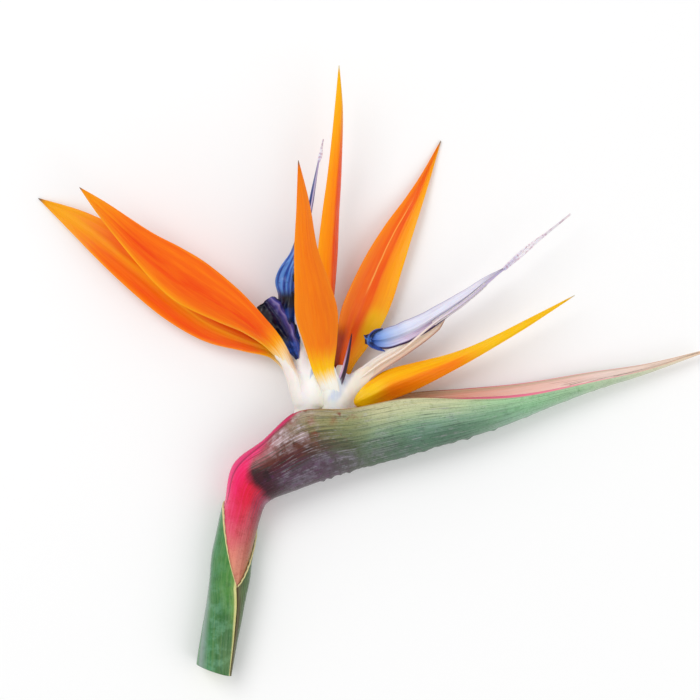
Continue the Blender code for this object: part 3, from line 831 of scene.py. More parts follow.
base_2 = fleshy("flower_2_base", [
    # the stalk
    [
        (-31.2, -33.4, 11.2, 1.9, 1, 0), (-23.2, -29.5, 11.2, 3.4, 1, 0), (-15.2, -20.5, 10.8, 4.4, 1.1, 0),
        (-11.6, -9.5, 10.8, 4.6, 1.25, 0), (-11.4, -5, 10.9, 3.7, 1.5, 0), (-11.2, -1.6, 10.4, 2.2, 1.7, 0),
        (-10.9, 1.2, 9.2, 1, 2.2, 0), (-10.8, 3.2, 8, 0.4, 4, 0),
    ],
    # the feet of the front, the back and the keeled sepal
    [
        (-12, -15, 12, 3.6, 1.1, 0), (-12.6, -10.5, 12.8, 3.2, 1.4, -6), (-13.6, -7, 13.4, 2.5, 1.75, -8),
        (-14.8, -3.6, 14, 1.8, 2.4, -6), (-16, -0.4, 14.7, 1, 4.2, -3), (-17, 2.4, 15.6, 0.4, 9, 0),
    ],
    [(-11.2, -12, 7.2, 2.8, 1.2, 0), (-11, -7, 6, 2, 1.4, 0), (-10.6, -2.4, 5, 0.6, 4.4, 0)],
    [(-8.4, -14, 9.8, 3, 1.1, 60), (-6.2, -12.2, 9.9, 1.9, 1.5, 50), (-4.6, -11.2, 10.4, 0.6, 4, 30)],
    # the feet of the claw and of the small petal
    [
        (-9.5, -10, 10, 3.6, 1.1, 0), (-6.6, -5, 10.2, 2.8, 1.35, 0), (-3.2, -1.9, 10, 1.8, 2, 0),
        (0.4, 0.9, 9.4, 1.2, 2.7, 0), (5, 4.2, 8.9, 0.6, 4, 0),
    ],
    [
        (-11, -12, 12, 3.2, 1.1, 0), (-11, -7, 12.4, 2.4, 1.3, 0), (-10.4, -3.6, 12.5, 1.4, 1.4, 0),
        (-9.8, -1, 12.7, 0.4, 3, 0),
    ],
])
settle(base_2, "flower_2_base")


# Sepals. Three stiff, glossy orange blades to a flower, two spread wide and one folded along its keel. Each
# is one leaf-like sheet with fine veins along it, white at its foot, then yellow, with a dried point.
leaf_blade, given, fed = open_group(
    "leaf blade", "GeometryNodeTree",
    {
        "Midline": "Geometry", "Rows": "Int", "Around": "Int", "Thickness": "Float", "Cup": "Float",
        "Fold": "Float", "Crease": "Float", "Wave": "Float", "Veins": "Float", "Vein Depth": "Float",
        "Seed": "Float", "Finish": "Material",
    },
    {"Blade": "Geometry"},
)


def at_row(midline, label, row, kind="FLOAT"):
    """What the midline holds under a name, read at one of its rows."""
    held = put("GeometryNodeInputNamedAttribute", label, tree=midline.id_data, data_type=kind)
    return put("GeometryNodeSampleIndex", midline, held, row, data_type=kind)


def push(place, direction, length):
    """A place moved some length in a direction."""
    way = put("ShaderNodeVectorMath", direction, length, operation="SCALE")
    return put("ShaderNodeVectorMath", place, way, operation="ADD")


grid = put("GeometryNodeMeshGrid", 1.0, 1.0, plus(given["Around"], 1), given["Rows"])
on_grid = put("GeometryNodeInputPosition", tree=leaf_blade)
x_on_grid, y_on_grid = put("ShaderNodeSeparateXYZ", on_grid).node.outputs[:2]
row = calc("ROUND", times(plus(y_on_grid, 0.5), minus(given["Rows"], 1)))
turn = times(plus(x_on_grid, 0.5), -2 * np.pi)
across, deep = calc("COSINE", turn), calc("SINE", turn)
held = given["Midline"]
centre, side, face = (at_row(held, label, row, "FLOAT_VECTOR") for label in ("centre", "side", "face"))
half, along, full = (at_row(held, label, row) for label in ("half", "along", "open"))
flat_foot = calc("MINIMUM", 1.0, times(along, 4.0))
square = times(across, across)
ridge = minus(0.2, calc("SQRT", plus(square, 0.03)))
arch = times(scaled(given["Cup"], square, times(given["Fold"], ridge)), half, flat_foot)
body = calc("MINIMUM", 1.0, scaled(half, 0.25, 0.35))
thick = times(given["Thickness"], 0.5, deep, body)
inland = minus(1.0, times(square, square))
crease_place = vector(times(across, 2.6), times(along, 2.2), given["Seed"])
crease = scaled(noise(crease_place, 1.0, 2.0), 2.0, -1.0)
crease = times(crease, given["Crease"], inland, flat_foot)
wave_place = vector(times(calc("SIGN", across), 3.7), times(along, 6.0), given["Seed"])
wave = scaled(noise(wave_place, 1.0, 2.0), 2.0, -1.0)
wave = times(wave, given["Wave"], square)
vein = calc("COSINE", times(across, given["Veins"], np.pi))
vein = times(vein, given["Vein Depth"], deep, inland)
lift = plus(arch, thick, crease, wave, vein)
out = times(half, across, full)
spread_place = push(push(centre, side, out), face, times(lift, full))
spread_place = put("ShaderNodeVectorMath", spread_place, MM, operation="SCALE")
shape = grid
for label, value in {"across": across, "along": along, "upper": deep}.items():
    shape = put("GeometryNodeStoreNamedAttribute", shape, None, label, value, data_type="FLOAT")
shape = put("GeometryNodeSetPosition", shape, None, spread_place)
shape = put("GeometryNodeMergeByDistance", shape, None, 0.000001)
shape = put("GeometryNodeRealizeInstances", shape)
shape = put("GeometryNodeSetMaterial", shape, None, given["Finish"])
leaf_blade.links.new(shape, fed["Blade"])


def blade(name, finish, rows, steps=200, point=0.12, **sizes):
    """A leaf-like sheet along rows of x, y, z, half width and roll. point is the half width at its tip."""
    t = np.concatenate(([0], np.linspace(0, 1, steps), [1]))
    course = smooth(rows, t)
    half = np.maximum(course[:, 3] - (course[-1, 3] - point) * share_of(t, 0.9, 1), point)
    side, face = axes_at(rows, t, course[:, 4])
    ends = np.ones_like(t)
    ends[[0, -1]] = 0
    midline = bpy.data.meshes.new(name)
    midline.from_pydata(course[:, :3] * MM, [], [])
    hold(midline, centre=course[:, :3], side=side, face=face, half=half, along=t, open=ends)
    return grow(name, midline, leaf_blade, rows=len(t), finish=finish, **sizes)


def sepal_finish(name, bands, marks, white_to, yellow_to, tip_from, tip, point):
    """Orange flesh, white up to white_to and yellow up to yellow_to along the blade, with a dried point.

    bands colour it from its left margin to its right one. Each mark is a stripe: where it lies across the
    blade, its half width, where it starts and ends along the blade, its strength and its colour.
    """
    made, tree, shader = new_finish(name, roughness=0.42, coat=0.04, glow=0.12, shine=0.15)
    across, along = kept(tree, "across"), kept(tree, "along")
    streaks = group(plant_fibres, "Streaks", across, along, fineness=5.5, stretch=1.1, seed=2.0)
    fine = group(plant_fibres, "Streaks", across, along, fineness=22.0, stretch=3.2, seed=6.0)
    fine_height = group(plant_fibres, "Height", across, along, fineness=34.0, stretch=4.5, seed=7.0)
    drift = scaled(noise(vector(across, times(along, 4.0)), 1.3, 3), 0.12, -0.06)
    band_at = plus(scaled(across, 0.5, 0.5), drift)
    colour = ramp(band_at, bands)
    colour = stain(colour, "FF9808", streaks, 0.25)
    colour = stain(colour, "E84600", fine, 0.2)
    far_along = plus(along, scaled(streaks, 0.03, -0.015))
    colour = stain(colour, tip, fade(far_along, tip_from, tip_from + 0.22))
    colour = stain(colour, point, fade(along, 0.972, 0.998))
    colour = stain(colour, "FFC608", until(yellow_to - 0.03, yellow_to + 0.12, far_along))
    white = ramp(calc("ABSOLUTE", across), [(0, "FAF6E8"), (0.7, "F8F2E8"), (0.95, "F6EEE4"), (1, "F1E4D8")])
    colour = tint(until(white_to - 0.04, white_to + 0.08, far_along), colour, white)
    for centre, width, start, end, strength, code in marks:
        stripe = until(0.3 * width, width, calc("ABSOLUTE", minus(band_at, centre)))
        stripe = times(stripe, between(along, start - 0.05, start + 0.03, end - 0.03, end + 0.05))
        colour = stain(colour, code, stripe, strength)
    rough = ramp(fine, [(0, "555555"), (1, "7A7A7A")])
    finish_with(shader, colour, fine_height, depth=0.1, roughness=rough)
    return made


# rows hold x, y, z, half width and roll. ends holds how far along the white and the yellow reach, where the
# tip's colour begins, and the colours of the tip and of the dried point
sepals = {
    "flower_1_sepal_lower": dict(
        rows=[
            (-25.7, -10.5, 7.4, 2, 50), (-28.8, -0.5, 6.5, 2.7, 40), (-35.2, 7.8, 6.2, 3.4, 25),
            (-46, 12.2, 6, 4.6, 10), (-58.5, 17.8, 6, 6.8, 0), (-71, 26.5, 5.8, 8.2, 0),
            (-83, 36.8, 5.2, 8.6, 0), (-95.5, 46.8, 4.2, 7.4, 0), (-108.5, 56, 2.6, 4.6, 0),
            (-123.5, 65, 0.4, 0.4, 0),
        ],
        cup=0.15, crease=0.5, wave=0.5, seed=1.0,
        bands=[
            (0, "FBA210"), (0.06, "F26A10"), (0.14, "EE5208"), (0.28, "F0620C"), (0.38, "F4800E"),
            (0.46, "F79A10"), (0.54, "F06A0C"), (0.7, "F0560A"), (1, "F26410"),
        ],
        ends=(0.15, 0.19, 0.74, "F7A810", "8A7460"),
    ),
    "flower_1_sepal_upper": dict(
        rows=[
            (-25.7, -10.5, 13.4, 2, -50), (-28.8, 0, 13.9, 2.6, -40), (-34.7, 10, 15, 3.5, -25),
            (-43, 18, 16.6, 5, -15), (-52.5, 24.8, 18.4, 7.3, -8), (-64.5, 32.5, 21, 9, -5),
            (-73.5, 39, 22.8, 8.2, -5), (-83.5, 47, 25, 5.8, -5), (-97, 59.5, 27.6, 2.8, -5),
            (-105.5, 67.5, 29, 0.4, -5),
        ],
        cup=-0.15, crease=0.5, wave=0.35, seed=2.0,
        bands=[
            (0, "FFB814"), (0.045, "F9940C"), (0.12, "F3720C"), (0.3, "F0560A"), (0.45, "EC4808"),
            (0.62, "F05C0A"), (0.8, "F46C0C"), (0.95, "F2620C"), (1, "F6860C"),
        ],
        marks=[(0.96, 0.4, 0.12, 0.19, 0.6, "E4B080"), (0.98, 0.12, 0.13, 0.17, 0.7, "A8703C")],
        ends=(0.15, 0.18, 0.78, "F9A20E", "8A7460"),
    ),
    "flower_1_sepal_keeled": dict(
        rows=[
            (-17.4, -12.6, 10.4, 1.8, 90), (-16.3, -3.5, 10.4, 2.6, 75), (-16, 8.5, 10.8, 3.2, 55),
            (-15.4, 21, 11.8, 4.3, 40), (-14.6, 33, 13, 4.5, 35), (-14, 45, 14.2, 4.3, 30),
            (-13.1, 59, 16, 3.6, 30), (-11.8, 75, 18, 2.8, 30), (-10.8, 96, 20.2, 1.8, 30),
            (-11.2, 112.5, 22, 0.4, 30),
        ],
        fold=0.8, crease=0.15, wave=0.2, seed=3.0,
        bands=[
            (0, "FDA810"), (0.2, "FA980C"), (0.42, "F7860A"), (0.5, "F2640A"), (0.56, "EE4A0C"),
            (0.8, "EC400E"), (1, "F0560C"),
        ],
        ends=(0.2, 0.3, 0.76, "FCBE0C", "EFE2B4"),
    ),
    "flower_2_sepal_front": dict(
        rows=[
            (-12.3, -10.4, 15, 2, -12), (-14.6, -5, 15.4, 3.3, -8), (-17, 1.5, 16.4, 4.1, 0),
            (-18, 11, 20.5, 6.2, 0), (-19.3, 21, 27, 7.8, 0), (-20.8, 31, 34, 6.5, 0),
            (-23, 44, 42, 4.3, 0), (-23.9, 60, 50, 2.4, 0), (-25.5, 75.5, 56, 0.4, 0),
        ],
        fold=0.2, crease=0.3, wave=0.3, seed=4.0,
        bands=[
            (0, "FA980C"), (0.1, "F8860A"), (0.4, "F67E08"), (0.55, "F37808"), (0.85, "EE760C"),
            (1, "F08210"),
        ],
        ends=(0.17, 0.25, 0.75, "F5820C", "8E7C66"),
    ),
    "flower_2_sepal_back": dict(
        rows=[
            (-11.2, -10.8, 5.7, 2, 0), (-10.8, -4, 5, 2.6, 0), (-9.3, 4, 4.6, 4, 5),
            (-6.5, 12, 4.6, 6.3, 10), (-3.3, 20.5, 5, 8.2, 10), (0.5, 29.5, 5, 8.4, 10),
            (5, 40.5, 4.8, 7.4, 10), (10.5, 52, 4, 5.6, 5), (16, 62.5, 2.8, 3.6, 0),
            (21, 73, 1.6, 1.9, 0), (26.7, 86.5, 0.5, 0.4, 0),
        ],
        cup=0.25, crease=0.5, wave=0.3, seed=5.0,
        bands=[
            (0, "F8900C"), (0.1, "F57C0A"), (0.26, "F1640C"), (0.45, "F05A0C"), (0.56, "EF560E"),
            (0.63, "F68A0C"), (0.8, "FBA60A"), (1, "FDB40C"),
        ],
        # the first two marks are painted shade: dark red and brownish grey on the left of its foot, beside
        # the front sepal and the small petal
        marks=[
            (0.1, 0.28, 0.12, 0.32, 0.85, "94200F"), (0.08, 0.3, 0.02, 0.16, 0.75, "6E4638"),
            (0.4, 0.022, 0.52, 0.8, 0.7, "FCC25A"), (0.85, 0.35, 0.34, 0.44, 0.7, "FBC80E"),
        ],
        ends=(0.04, 0.08, 0.86, "F9A50C", "B9A48A"),
    ),
    "flower_2_sepal_keeled": dict(
        rows=[
            (-7, -12.5, 10.4, 2, 60), (-3.9, -10.6, 11.4, 3.4, 12), (0.5, -8.4, 12, 4.8, 8),
            (8.5, -4.2, 12, 5.5, 2), (17, -0.9, 11.8, 4.9, -5), (29.5, 3.9, 11.3, 3.3, -10),
            (37.5, 7.4, 12, 2.5, -10), (46.5, 12, 13, 1.9, -10), (57.5, 18.1, 14.2, 1.4, -10),
            (75.5, 28.5, 16, 0.4, -10),
        ],
        fold=0.6, crease=0.25, wave=0.2, seed=6.0,
        bands=[
            (0, "FFC408"), (0.3, "FFBC06"), (0.46, "FFAC06"), (0.52, "FF960A"), (0.6, "FC840C"),
            (0.85, "FC880C"), (1, "FA9A0C"),
        ],
        marks=[(0.25, 0.45, 0.0, 0.28, 0.9, "FFCA08"), (0.08, 0.12, 0.22, 0.5, 0.5, "FA980C")],
        ends=(0.0, 0.2, 0.55, "FBC40C", "EFE2BE"),
    ),
}
for name, kind in sepals.items():
    finish = sepal_finish(name + "_flesh", kind.pop("bands"), kind.pop("marks", []), *kind.pop("ends"))
    sepal = blade(name, finish, around=140, thickness=1.0, veins=9.0, vein_depth=0.035, **kind)
    settle(sepal, name)


# Small petals. Beside each arrow stands the third, much smaller petal of its flower: a narrow dark spike with
# a lilac margin and a white foot.
def small_petal_finish(name, white_to):
    made, tree, shader = new_finish(name, roughness=0.35, coat=0.15)
    across, along = kept(tree, "across"), kept(tree, "along")
    fibres = group(plant_fibres, "Streaks", across, along, fineness=6.0, stretch=3.0, seed=1.0)
    height = group(plant_fibres, "Height", across, along, fineness=9.0, stretch=5.0, seed=2.0)
    colour = stain(hue("220616"), "44163A", fibres)
    lilac = ramp(along, [(0, "A6A4D2"), (0.5, "E0B2CE"), (0.85, "A06A90"), (1, "3A1028")])
    colour = tint(times(until(-0.55, -0.15, across), 0.85), colour, lilac)
    colour = stain(colour, "1E060C", fade(along, 0.88, 1.0))
    white = until(white_to, white_to + 0.22, scaled(fibres, 0.1, along))
    colour = tint(white, colour, ramp(fibres, [(0, "EDF0F4"), (0.6, "C0CAE6"), (1, "808CC2")]))
    finish_with(shader, colour, height, depth=0.1)
    return made


small_petals = {
    "flower_1_small_petal": dict(
        rows=[
            (-21.2, -7.7, 13.3, 1.2, 0), (-20.6, -1, 13.6, 1.4, 0), (-19.6, 6, 14, 1, 0),
            (-18.8, 12, 14.4, 0.3, 0),
        ],
        white_to=0.9,
    ),
    "flower_2_small_petal": dict(
        rows=[
            (-12.4, -8, 14.2, 0.9, -10), (-10.8, -3.6, 14.3, 1.15, -10), (-9.2, 1.4, 14.2, 1, -10),
            (-7.8, 7.6, 14.1, 0.7, -10), (-6.5, 14.5, 14.3, 0.22, -10),
        ],
        white_to=0.16,
    ),
}
for name, kind in small_petals.items():
    petal = blade(
        name, small_petal_finish(name + "_flesh", kind["white_to"]), kind["rows"], steps=90, around=64,
        thickness=0.8, cup=0.3, crease=0.2, wave=0.2, veins=4.0, vein_depth=0.05, seed=7.0,
    )
    settle(petal, name)


# Arrows. Two blue petals of each flower are grown together into a barbed arrowhead, with a groove along it,
# on a pale channelled claw. The older flower's has faded to lavender, and the younger one's is near black.
ARROW_THICK = 4.2
GROOVE_WIDE = 0.6
GROOVE_DEEP = 1.5
GROOVE_LIP = 0.16
THINNEST = 0.18
CLAW_THICK = 1.1


def half_thickness(half):
    """Both this and the groove shrink with the head's half width."""
    return ARROW_THICK / 2 * np.minimum(1, 0.3 + half / 5)


def groove_depth(half):
    return GROOVE_DEEP * np.minimum(1, half / 3)


def arrow_head(name, finish, rows, groove_at, barb, rumple, seed, around=144, lengthwise=170):
    """An arrowhead along rows like a blade's.

    barb is how far its margins reach back past its foot, and rumple how crumpled its skin is.
    """

    def place(u, v):
        t, opened = rings(v, lengthwise)
        course = smooth(rows, t)
        half = np.maximum(course[:, 3], THINNEST)
        side, face = axes_at(rows, t, course[:, 4])
        turn = -2 * np.pi * u
        across, deep = np.cos(turn), np.sin(turn)
        upper = np.maximum(deep, 0)
        hollow = np.maximum(0, 1 - ((across - groove_at) / GROOVE_WIDE) ** 2)
        lip = np.exp(-(((across - groove_at + GROOVE_WIDE) / 0.16) ** 2))
        lip = lip + np.exp(-(((across - groove_at - GROOVE_WIDE * 0.55) / 0.1) ** 2))
        high = half_thickness(half) * deep + (GROOVE_LIP * half * lip - groove_depth(half) * hollow) * upper
        skin = rumple * (ripple(across * 5, t * 22, seed) + 0.5 * ripple(across * 11, t * 46, seed + 1))
        high = (high + skin * np.minimum(1, half / 2)) * opened
        back = barb * np.maximum(np.abs(across) - 0.2, 0) ** 1.4 * share_of(t, 0.4, 0) ** 2
        ragged = 1 + 0.22 * rumple * ripple(t * 34, across, seed + 2, waves=6)
        points = course[:, :3] + side * (across * half * opened * ragged)[:, None]
        points = points + face * high[:, None] - heading(rows, t) * back[:, None]
        return points, {"across": across, "along": t, "upper": deep}

    return sheet(name, finish, around, lengthwise, place)


def join(name, pieces):
    """Several shapes kept as one piece."""
    bpy.ops.object.select_all(action="DESELECT")
    for piece in pieces:
        piece.select_set(True)
    bpy.context.view_layer.objects.active = pieces[0]
    bpy.ops.object.join()
    pieces[0].name = name
    pieces[0].data.name = name
    return pieces[0]


def dark_skin(name, bands, blue_cover, blue_from, blue_to, spike_from=2.0):
    """Near-black blue, glossy and rumpled, with painted blue highlights in patches from blue_from to blue_to
    along it.

    A head that runs out into a dry grey spike does so from spike_from on.
    """
    made, tree, shader = new_finish(name, roughness=0.3, coat=0.25)
    place = object_place(tree)
    across, along = kept(tree, "across"), kept(tree, "along")
    fibres = group(plant_fibres, "Streaks", across, along, fineness=7.0, stretch=2.6, seed=4.0)
    height = group(plant_fibres, "Height", across, along, fineness=16.0, stretch=4.0, seed=5.0)
    colour = ramp(scaled(across, 0.5, 0.5), bands)
    rumples = noise(place, 260, 4, 0.6)
    leftward = scaled(across, -0.3, scaled(rumples, 2.2, blue_cover - 1.4))
    blue_part = between(along, blue_from, blue_from + 0.06, blue_to, blue_to + 0.06)
    # painted highlights: brighter blue where the rumpled skin catches the light, more of it towards the left
    # margin
    highlight_blue = stain(hue("1540A0"), "5A92E0", fibres)
    colour = tint(times(fade(leftward, 0, 0.22), blue_part, 0.9), colour, highlight_blue)
    foot_blue = times(until(0.24, 0.36, along), scaled(fade(rumples, 0.4, 0.6), 0.7, 0.2))
    colour = stain(colour, "2450B0", foot_blue, 0.9)
    colour = stain(colour, "2C3F8C", fade(along, spike_from, spike_from + 0.08))
    colour = stain(colour, "7A80A2", fade(along, spike_from + 0.16, spike_from + 0.34))
    finish_with(shader, colour, height, depth=0.12)
    return made


dark_body = dark_skin(
    "dark_arrow_skin", [(0, "0C1440"), (0.25, "0A0A18"), (0.6, "08080F"), (0.8, "10102A"), (1, "1C2E74")],
    blue_cover=0.5, blue_from=0.36, blue_to=0.62, spike_from=0.66,
)
# the wing's bands paint shade over its left, lower face and a mauve highlight along the ridge near its right
# edge
dark_wing = dark_skin(
    "dark_wing_skin",
    [
        (0, "06060E"), (0.35, "0C0C20"), (0.55, "1A1846"), (0.7, "3A2F7C"), (0.8, "8A7CB6"),
        (0.85, "3E3890"), (1, "10102C"),
    ],
    blue_cover=0.3, blue_from=1.5, blue_to=2.0,
)

pale_arrow, tree, shader = new_finish("pale_arrow_skin", roughness=0.38, coat=0.1, glow=0.1)
across, along = kept(tree, "across"), kept(tree, "along")
fibres = group(plant_fibres, "Streaks", across, along, fineness=7.0, stretch=2.2, seed=6.0)
fine = group(plant_fibres, "Height", across, along, fineness=20.0, stretch=4.5, seed=8.0)
colour = ramp(along, [
    (0, "101A58"), (0.03, "2444A0"), (0.08, "4A76CE"), (0.15, "86A8E4"), (0.24, "BACAEE"),
    (0.36, "DFE2F4"), (0.8, "E8E4F0"), (1, "B0A6BC"),
])
colour = stain(colour, "9CA6D4", fibres, 0.25)
pink = times(fade(across, 0.1, 0.45), fade(along, 0.1, 0.34))
colour = tint(times(pink, 0.8), colour, ramp(fibres, [(0, "E8D2E6"), (1, "BE9CC8")]))
colour = stain(colour, "351748", fade(across, 0.74, 0.88), until(0.45, 0.75, along))
colour = stain(colour, "6C72AE", until(-0.97, -0.88, across), 0.6)
colour = stain(colour, "0E1444", until(0.03, 0.09, scaled(fibres, 0.03, along)))
colour = stain(colour, "7E6E7E", fade(along, 0.93, 1.0))
finish_with(shader, colour, fine, depth=0.12)

rolled_rim = dark_skin(
    "pale_arrow_rolled_rim", [(0, "3E6CC0"), (0.25, "1E3C90"), (0.5, "0E1648"), (1, "0A0E30")],
    blue_cover=0.45, blue_from=0.3, blue_to=0.8,
)


def claw_finish(name, bands, white_to):
    made, tree, shader = new_finish(name, roughness=0.4, coat=0.06, glow=0.15)
    across, along = kept(tree, "across"), kept(tree, "along")
    stripes = group(plant_fibres, "Streaks", across, along, fineness=5.0, stretch=3.4, seed=2.0)
    fine = group(plant_fibres, "Height", across, along, fineness=12.0, stretch=6.0, seed=3.0)
    colour = ramp(scaled(across, 0.5, 0.5), bands)
    colour = stain(colour, "DCC4BE", stripes, 0.25)
    colour = stain(colour, "F2F1EC", until(white_to, white_to + 0.2, along), 0.8)
    finish_with(shader, colour, fine, depth=0.12)
    return made


# claw_to, groove_from and anthers_to say where the stamens leave the claw, where along the head they reach
# its groove, and where their anthers end. stigma is the lobes' route past the head's tip
arrows = {
    "flower_1": dict(
        slot="arrow_dark",
        claw=claw_finish(
            "dark_claw_skin", [(0, "DDE0EA"), (0.4, "F0F0F4"), (0.7, "C4CCE4"), (1, "AAB8DA")], white_to=0.3,
        ),
        claw_rows=[
            (-21.2, -7.2, 8.8, 2, 0), (-22, -2, 9, 2.9, 0), (-22.9, 5, 9.5, 3.2, 0),
            (-25, 14, 9.8, 2.8, 0), (-28, 23, 9.6, 1.6, 0),
        ],
        head_rows=[
            (-26.3, 5.3, 10.8, 0.9, 0), (-27.6, 11, 11, 2.2, 0), (-28.7, 20, 11.2, 5, 0),
            (-28.8, 28.5, 11.6, 5.6, 0), (-28, 36, 11.8, 5.3, 0), (-26, 44, 12, 3.4, 0),
            (-23.3, 54, 12.4, 1.3, 0), (-21, 66, 13.8, 0.75, 0), (-18.7, 78.3, 15, 0.3, 0),
        ],
        groove_at=0.45,
        heads=[
            dict(finish=dark_body, barb=1.0, rumple=0.8, seed=31),
            # the wing that its left margin spreads out into
            dict(
                finish=dark_wing,
                rows=[
                    (-26.6, 5.2, 11.6, 0.8, 8), (-28.4, 9.6, 12.2, 2.6, 8), (-31, 14.6, 12.8, 4, 10),
                    (-34, 19.6, 13, 4.9, 10), (-36.6, 23.6, 12.8, 4.8, 8), (-38.5, 26.2, 12.2, 3.6, 6),
                ],
                groove_at=-0.35, barb=0.0, rumple=0.5, seed=37,
            ),
        ],
        claw_to=0.6, groove_from=0.22, anthers_to=0.7,
        stigma=[(-18, 80.4, 16.4), (-17.5, 83.4, 16.7), (-17, 86, 16.8)],
        stigma_wide=0.5,
    ),
    "flower_2": dict(
        slot="arrow_pale",
        claw=claw_finish(
            "pale_claw_skin",
            [
                (0, "EADEDA"), (0.25, "FAF0E4"), (0.5, "F9DDC0"), (0.72, "F4DCC6"), (0.88, "E4BEA2"),
                (0.95, "8A4E32"), (1, "B8866A"),
            ],
            white_to=0.1,
        ),
        claw_rows=[
            (-9.6, -6.7, 8.8, 1.9, 0), (-3.9, -2.4, 9.2, 2.8, 0), (3.8, 3.4, 9.8, 2.9, 0),
            (12, 8.4, 10.2, 2.5, 0), (20.5, 13.9, 10.6, 2, 0), (28, 20, 11, 1.6, 0),
        ],
        head_rows=[
            (-0.5, 12.3, 11, 1.6, 0), (5, 12.4, 11, 3.6, 0), (12, 14.5, 11.2, 4, 0),
            (18.5, 17.5, 11.6, 3.7, 0), (27, 22.7, 12.3, 3, 0), (36, 28.6, 13, 2.3, 0),
            (43, 34, 13.4, 1.4, 0), (49.8, 38.6, 14, 0.35, 0),
        ],
        groove_at=0.6,
        heads=[
            dict(finish=pale_arrow, barb=1.6, rumple=0.18, seed=41),
            # the curled rim of its tail, and its barb
            dict(
                finish=rolled_rim,
                rows=[
                    (5.6, 8, 11.4, 0.25, 0), (3, 9, 12, 0.7, 0), (0.6, 10.4, 12.4, 1, 0),
                    (-0.1, 12.2, 12.5, 1, 0), (0.9, 14.2, 12.4, 0.9, 0), (2.6, 15.6, 12.2, 0.6, 0),
                    (4.8, 16.3, 12, 0.2, 0),
                ],
                groove_at=0.0, barb=0.0, rumple=0.3, seed=43, around=60, lengthwise=70,
            ),
            dict(
                finish=rolled_rim,
                rows=[
                    (1.2, 12, 12, 1, 0), (-0.3, 12.4, 12.3, 0.8, 0), (-1.3, 13, 12.4, 0.5, 0),
                    (-2, 13.9, 12.2, 0.18, 0),
                ],
                groove_at=0.0, barb=0.0, rumple=0.3, seed=47, around=60, lengthwise=50,
            ),
        ],
        claw_to=0.6, groove_from=0.5, anthers_to=0.85,
        stigma=[(55, 43.2, 15.2), (60, 47.3, 15.4), (67, 52.8, 15.6), (74, 58.5, 15.8)],
        stigma_wide=1.05,
    ),
}
for flower, kind in arrows.items():
    main_head = dict(rows=kind["head_rows"], groove_at=kind["groove_at"])
    parts = [arrow_head(flower, **{**main_head, **head}) for head in kind["heads"]]
    claw = blade(
        flower + "_claw", kind["claw"], kind["claw_rows"], steps=120, around=72, thickness=CLAW_THICK,
        cup=0.4, crease=0.25, wave=0.2, veins=5.0, vein_depth=0.06, seed=8.0,
    )
    settle(join(flower + "_arrow", [*parts, claw]), flower + "_arrow")


# Stamens. Five thin filaments run up each claw from the base, and their long anthers lie pressed together in
# the arrow's groove, dusted with pale pollen.
GAP = 0.3  # kept free under the bundle
CLAW_CLEARANCE = 0.05
GROOVE_CLEARANCE = 0.15
BUNDLE_DEEP = 0.5
STAMENS = 5
ANTHERS_FROM = 0.5
ANTHER_RADIUS, ANTHER_SPREAD = 0.26, 0.32
FILAMENT_RADIUS, FILAMENT_SPREAD = 0.13, 0.14
strands, given, fed = open_group(
    "strands", "GeometryNodeTree",
    {"Routes": "Geometry", "Sides": "Int", "Finish": "Material"}, {"Strands": "Geometry"},
)
curves = put("GeometryNodeMeshToCurve", given["Routes"])
outline = put("GeometryNodeCurvePrimitiveCircle", given["Sides"], None, None, None, 1.0)
thick = put("GeometryNodeInputNamedAttribute", "radius_here", tree=strands, data_type="FLOAT")
tubes = put("GeometryNodeCurveToMesh", curves, outline, thick, True)
whole = put("GeometryNodeRealizeInstances", tubes)
whole = put("GeometryNodeSetMaterial", whole, None, given["Finish"])
strands.links.new(whole, fed["Strands"])


def over(rows, t, across, height):
    """Points over a petal at each t, across in half widths and height(half width) above its midline."""
    course = smooth(rows, t)
    half = course[:, 3]
    side, face = axes_at(rows, t, course[:, 4])
    return course[:, :3] + side * (half * across)[:, None] + face * height(half)[:, None]


def claw_floor(half):
    return np.full_like(half, CLAW_THICK / 2 + CLAW_CLEARANCE)


def groove_floor(half):
    return 0.9 * half_thickness(half) - groove_depth(half) + GROOVE_CLEARANCE


def lay_in_arrow(kind, reach, lift):
    """Points over the claw from the base's top and on along the groove, lift above the floor of each."""
    on_claw, on_head = np.linspace(0, kind["claw_to"], 4), np.linspace(kind["groove_from"], reach, 5)
    claw_part = over(kind["claw_rows"], on_claw, 0, lambda half: lift + claw_floor(half))
    head_part = over(kind["head_rows"], on_head, kind["groove_at"], lambda half: lift + groove_floor(half))
    return np.concatenate((claw_part, head_part))


def braid(name, finish, route, count, spread, radius_at, sides=10, steps=150):
    """Strands side by side along a route. radius_at and spread(t) are in millimetres."""
    t = np.linspace(0, 1, steps)
    course = smooth(route, t)
    side, face = axes_at(route, t)
    points, edges, thick = [], [], []
    for strand in range(count):
        off = strand - (count - 1) / 2
        sway = spread(t) * (off + 0.18 * np.sin(9 * t + 2.1 * strand))
        high = 0.22 * spread(t) * np.cos(2.3 * strand + 5 * t)
        start = len(points)
        points.extend(course + side * sway[:, None] + face * high[:, None])
        edges.extend((start + i, start + i + 1) for i in range(steps - 1))
        thick.extend(radius_at(t))
    routes = bpy.data.meshes.new(name)
    routes.from_pydata(np.array(points) * MM, edges, [])
    hold(routes, radius_here=np.array(thick) * MM, along=np.tile(t, count))
    return grow(name, routes, strands, sides=sides, finish=finish)


def stamen_spread(t):
    return np.where(t > ANTHERS_FROM, ANTHER_SPREAD, FILAMENT_SPREAD)


def stamen_radius(t):
    """An anther is thicker than its filament and runs out to a point."""
    return np.minimum(np.where(t > ANTHERS_FROM, ANTHER_RADIUS, FILAMENT_RADIUS), 0.05 + 6 * (1 - t))


anther_skin, tree, shader = new_finish("anther_skin", roughness=0.6)
place, along = object_place(tree), kept(tree, "along")
grains = noise(place, 2600, 3)
colour = ramp(along, [(0, "F2EEE6"), (0.45, "EBDDD2"), (0.55, "D6CCD6"), (1, "CFC6D4")])
colour = stain(colour, "EEEADC", fade(grains, 0.52, 0.6), fade(along, 0.5, 0.56))
finish_with(shader, colour, grains, depth=0.1)

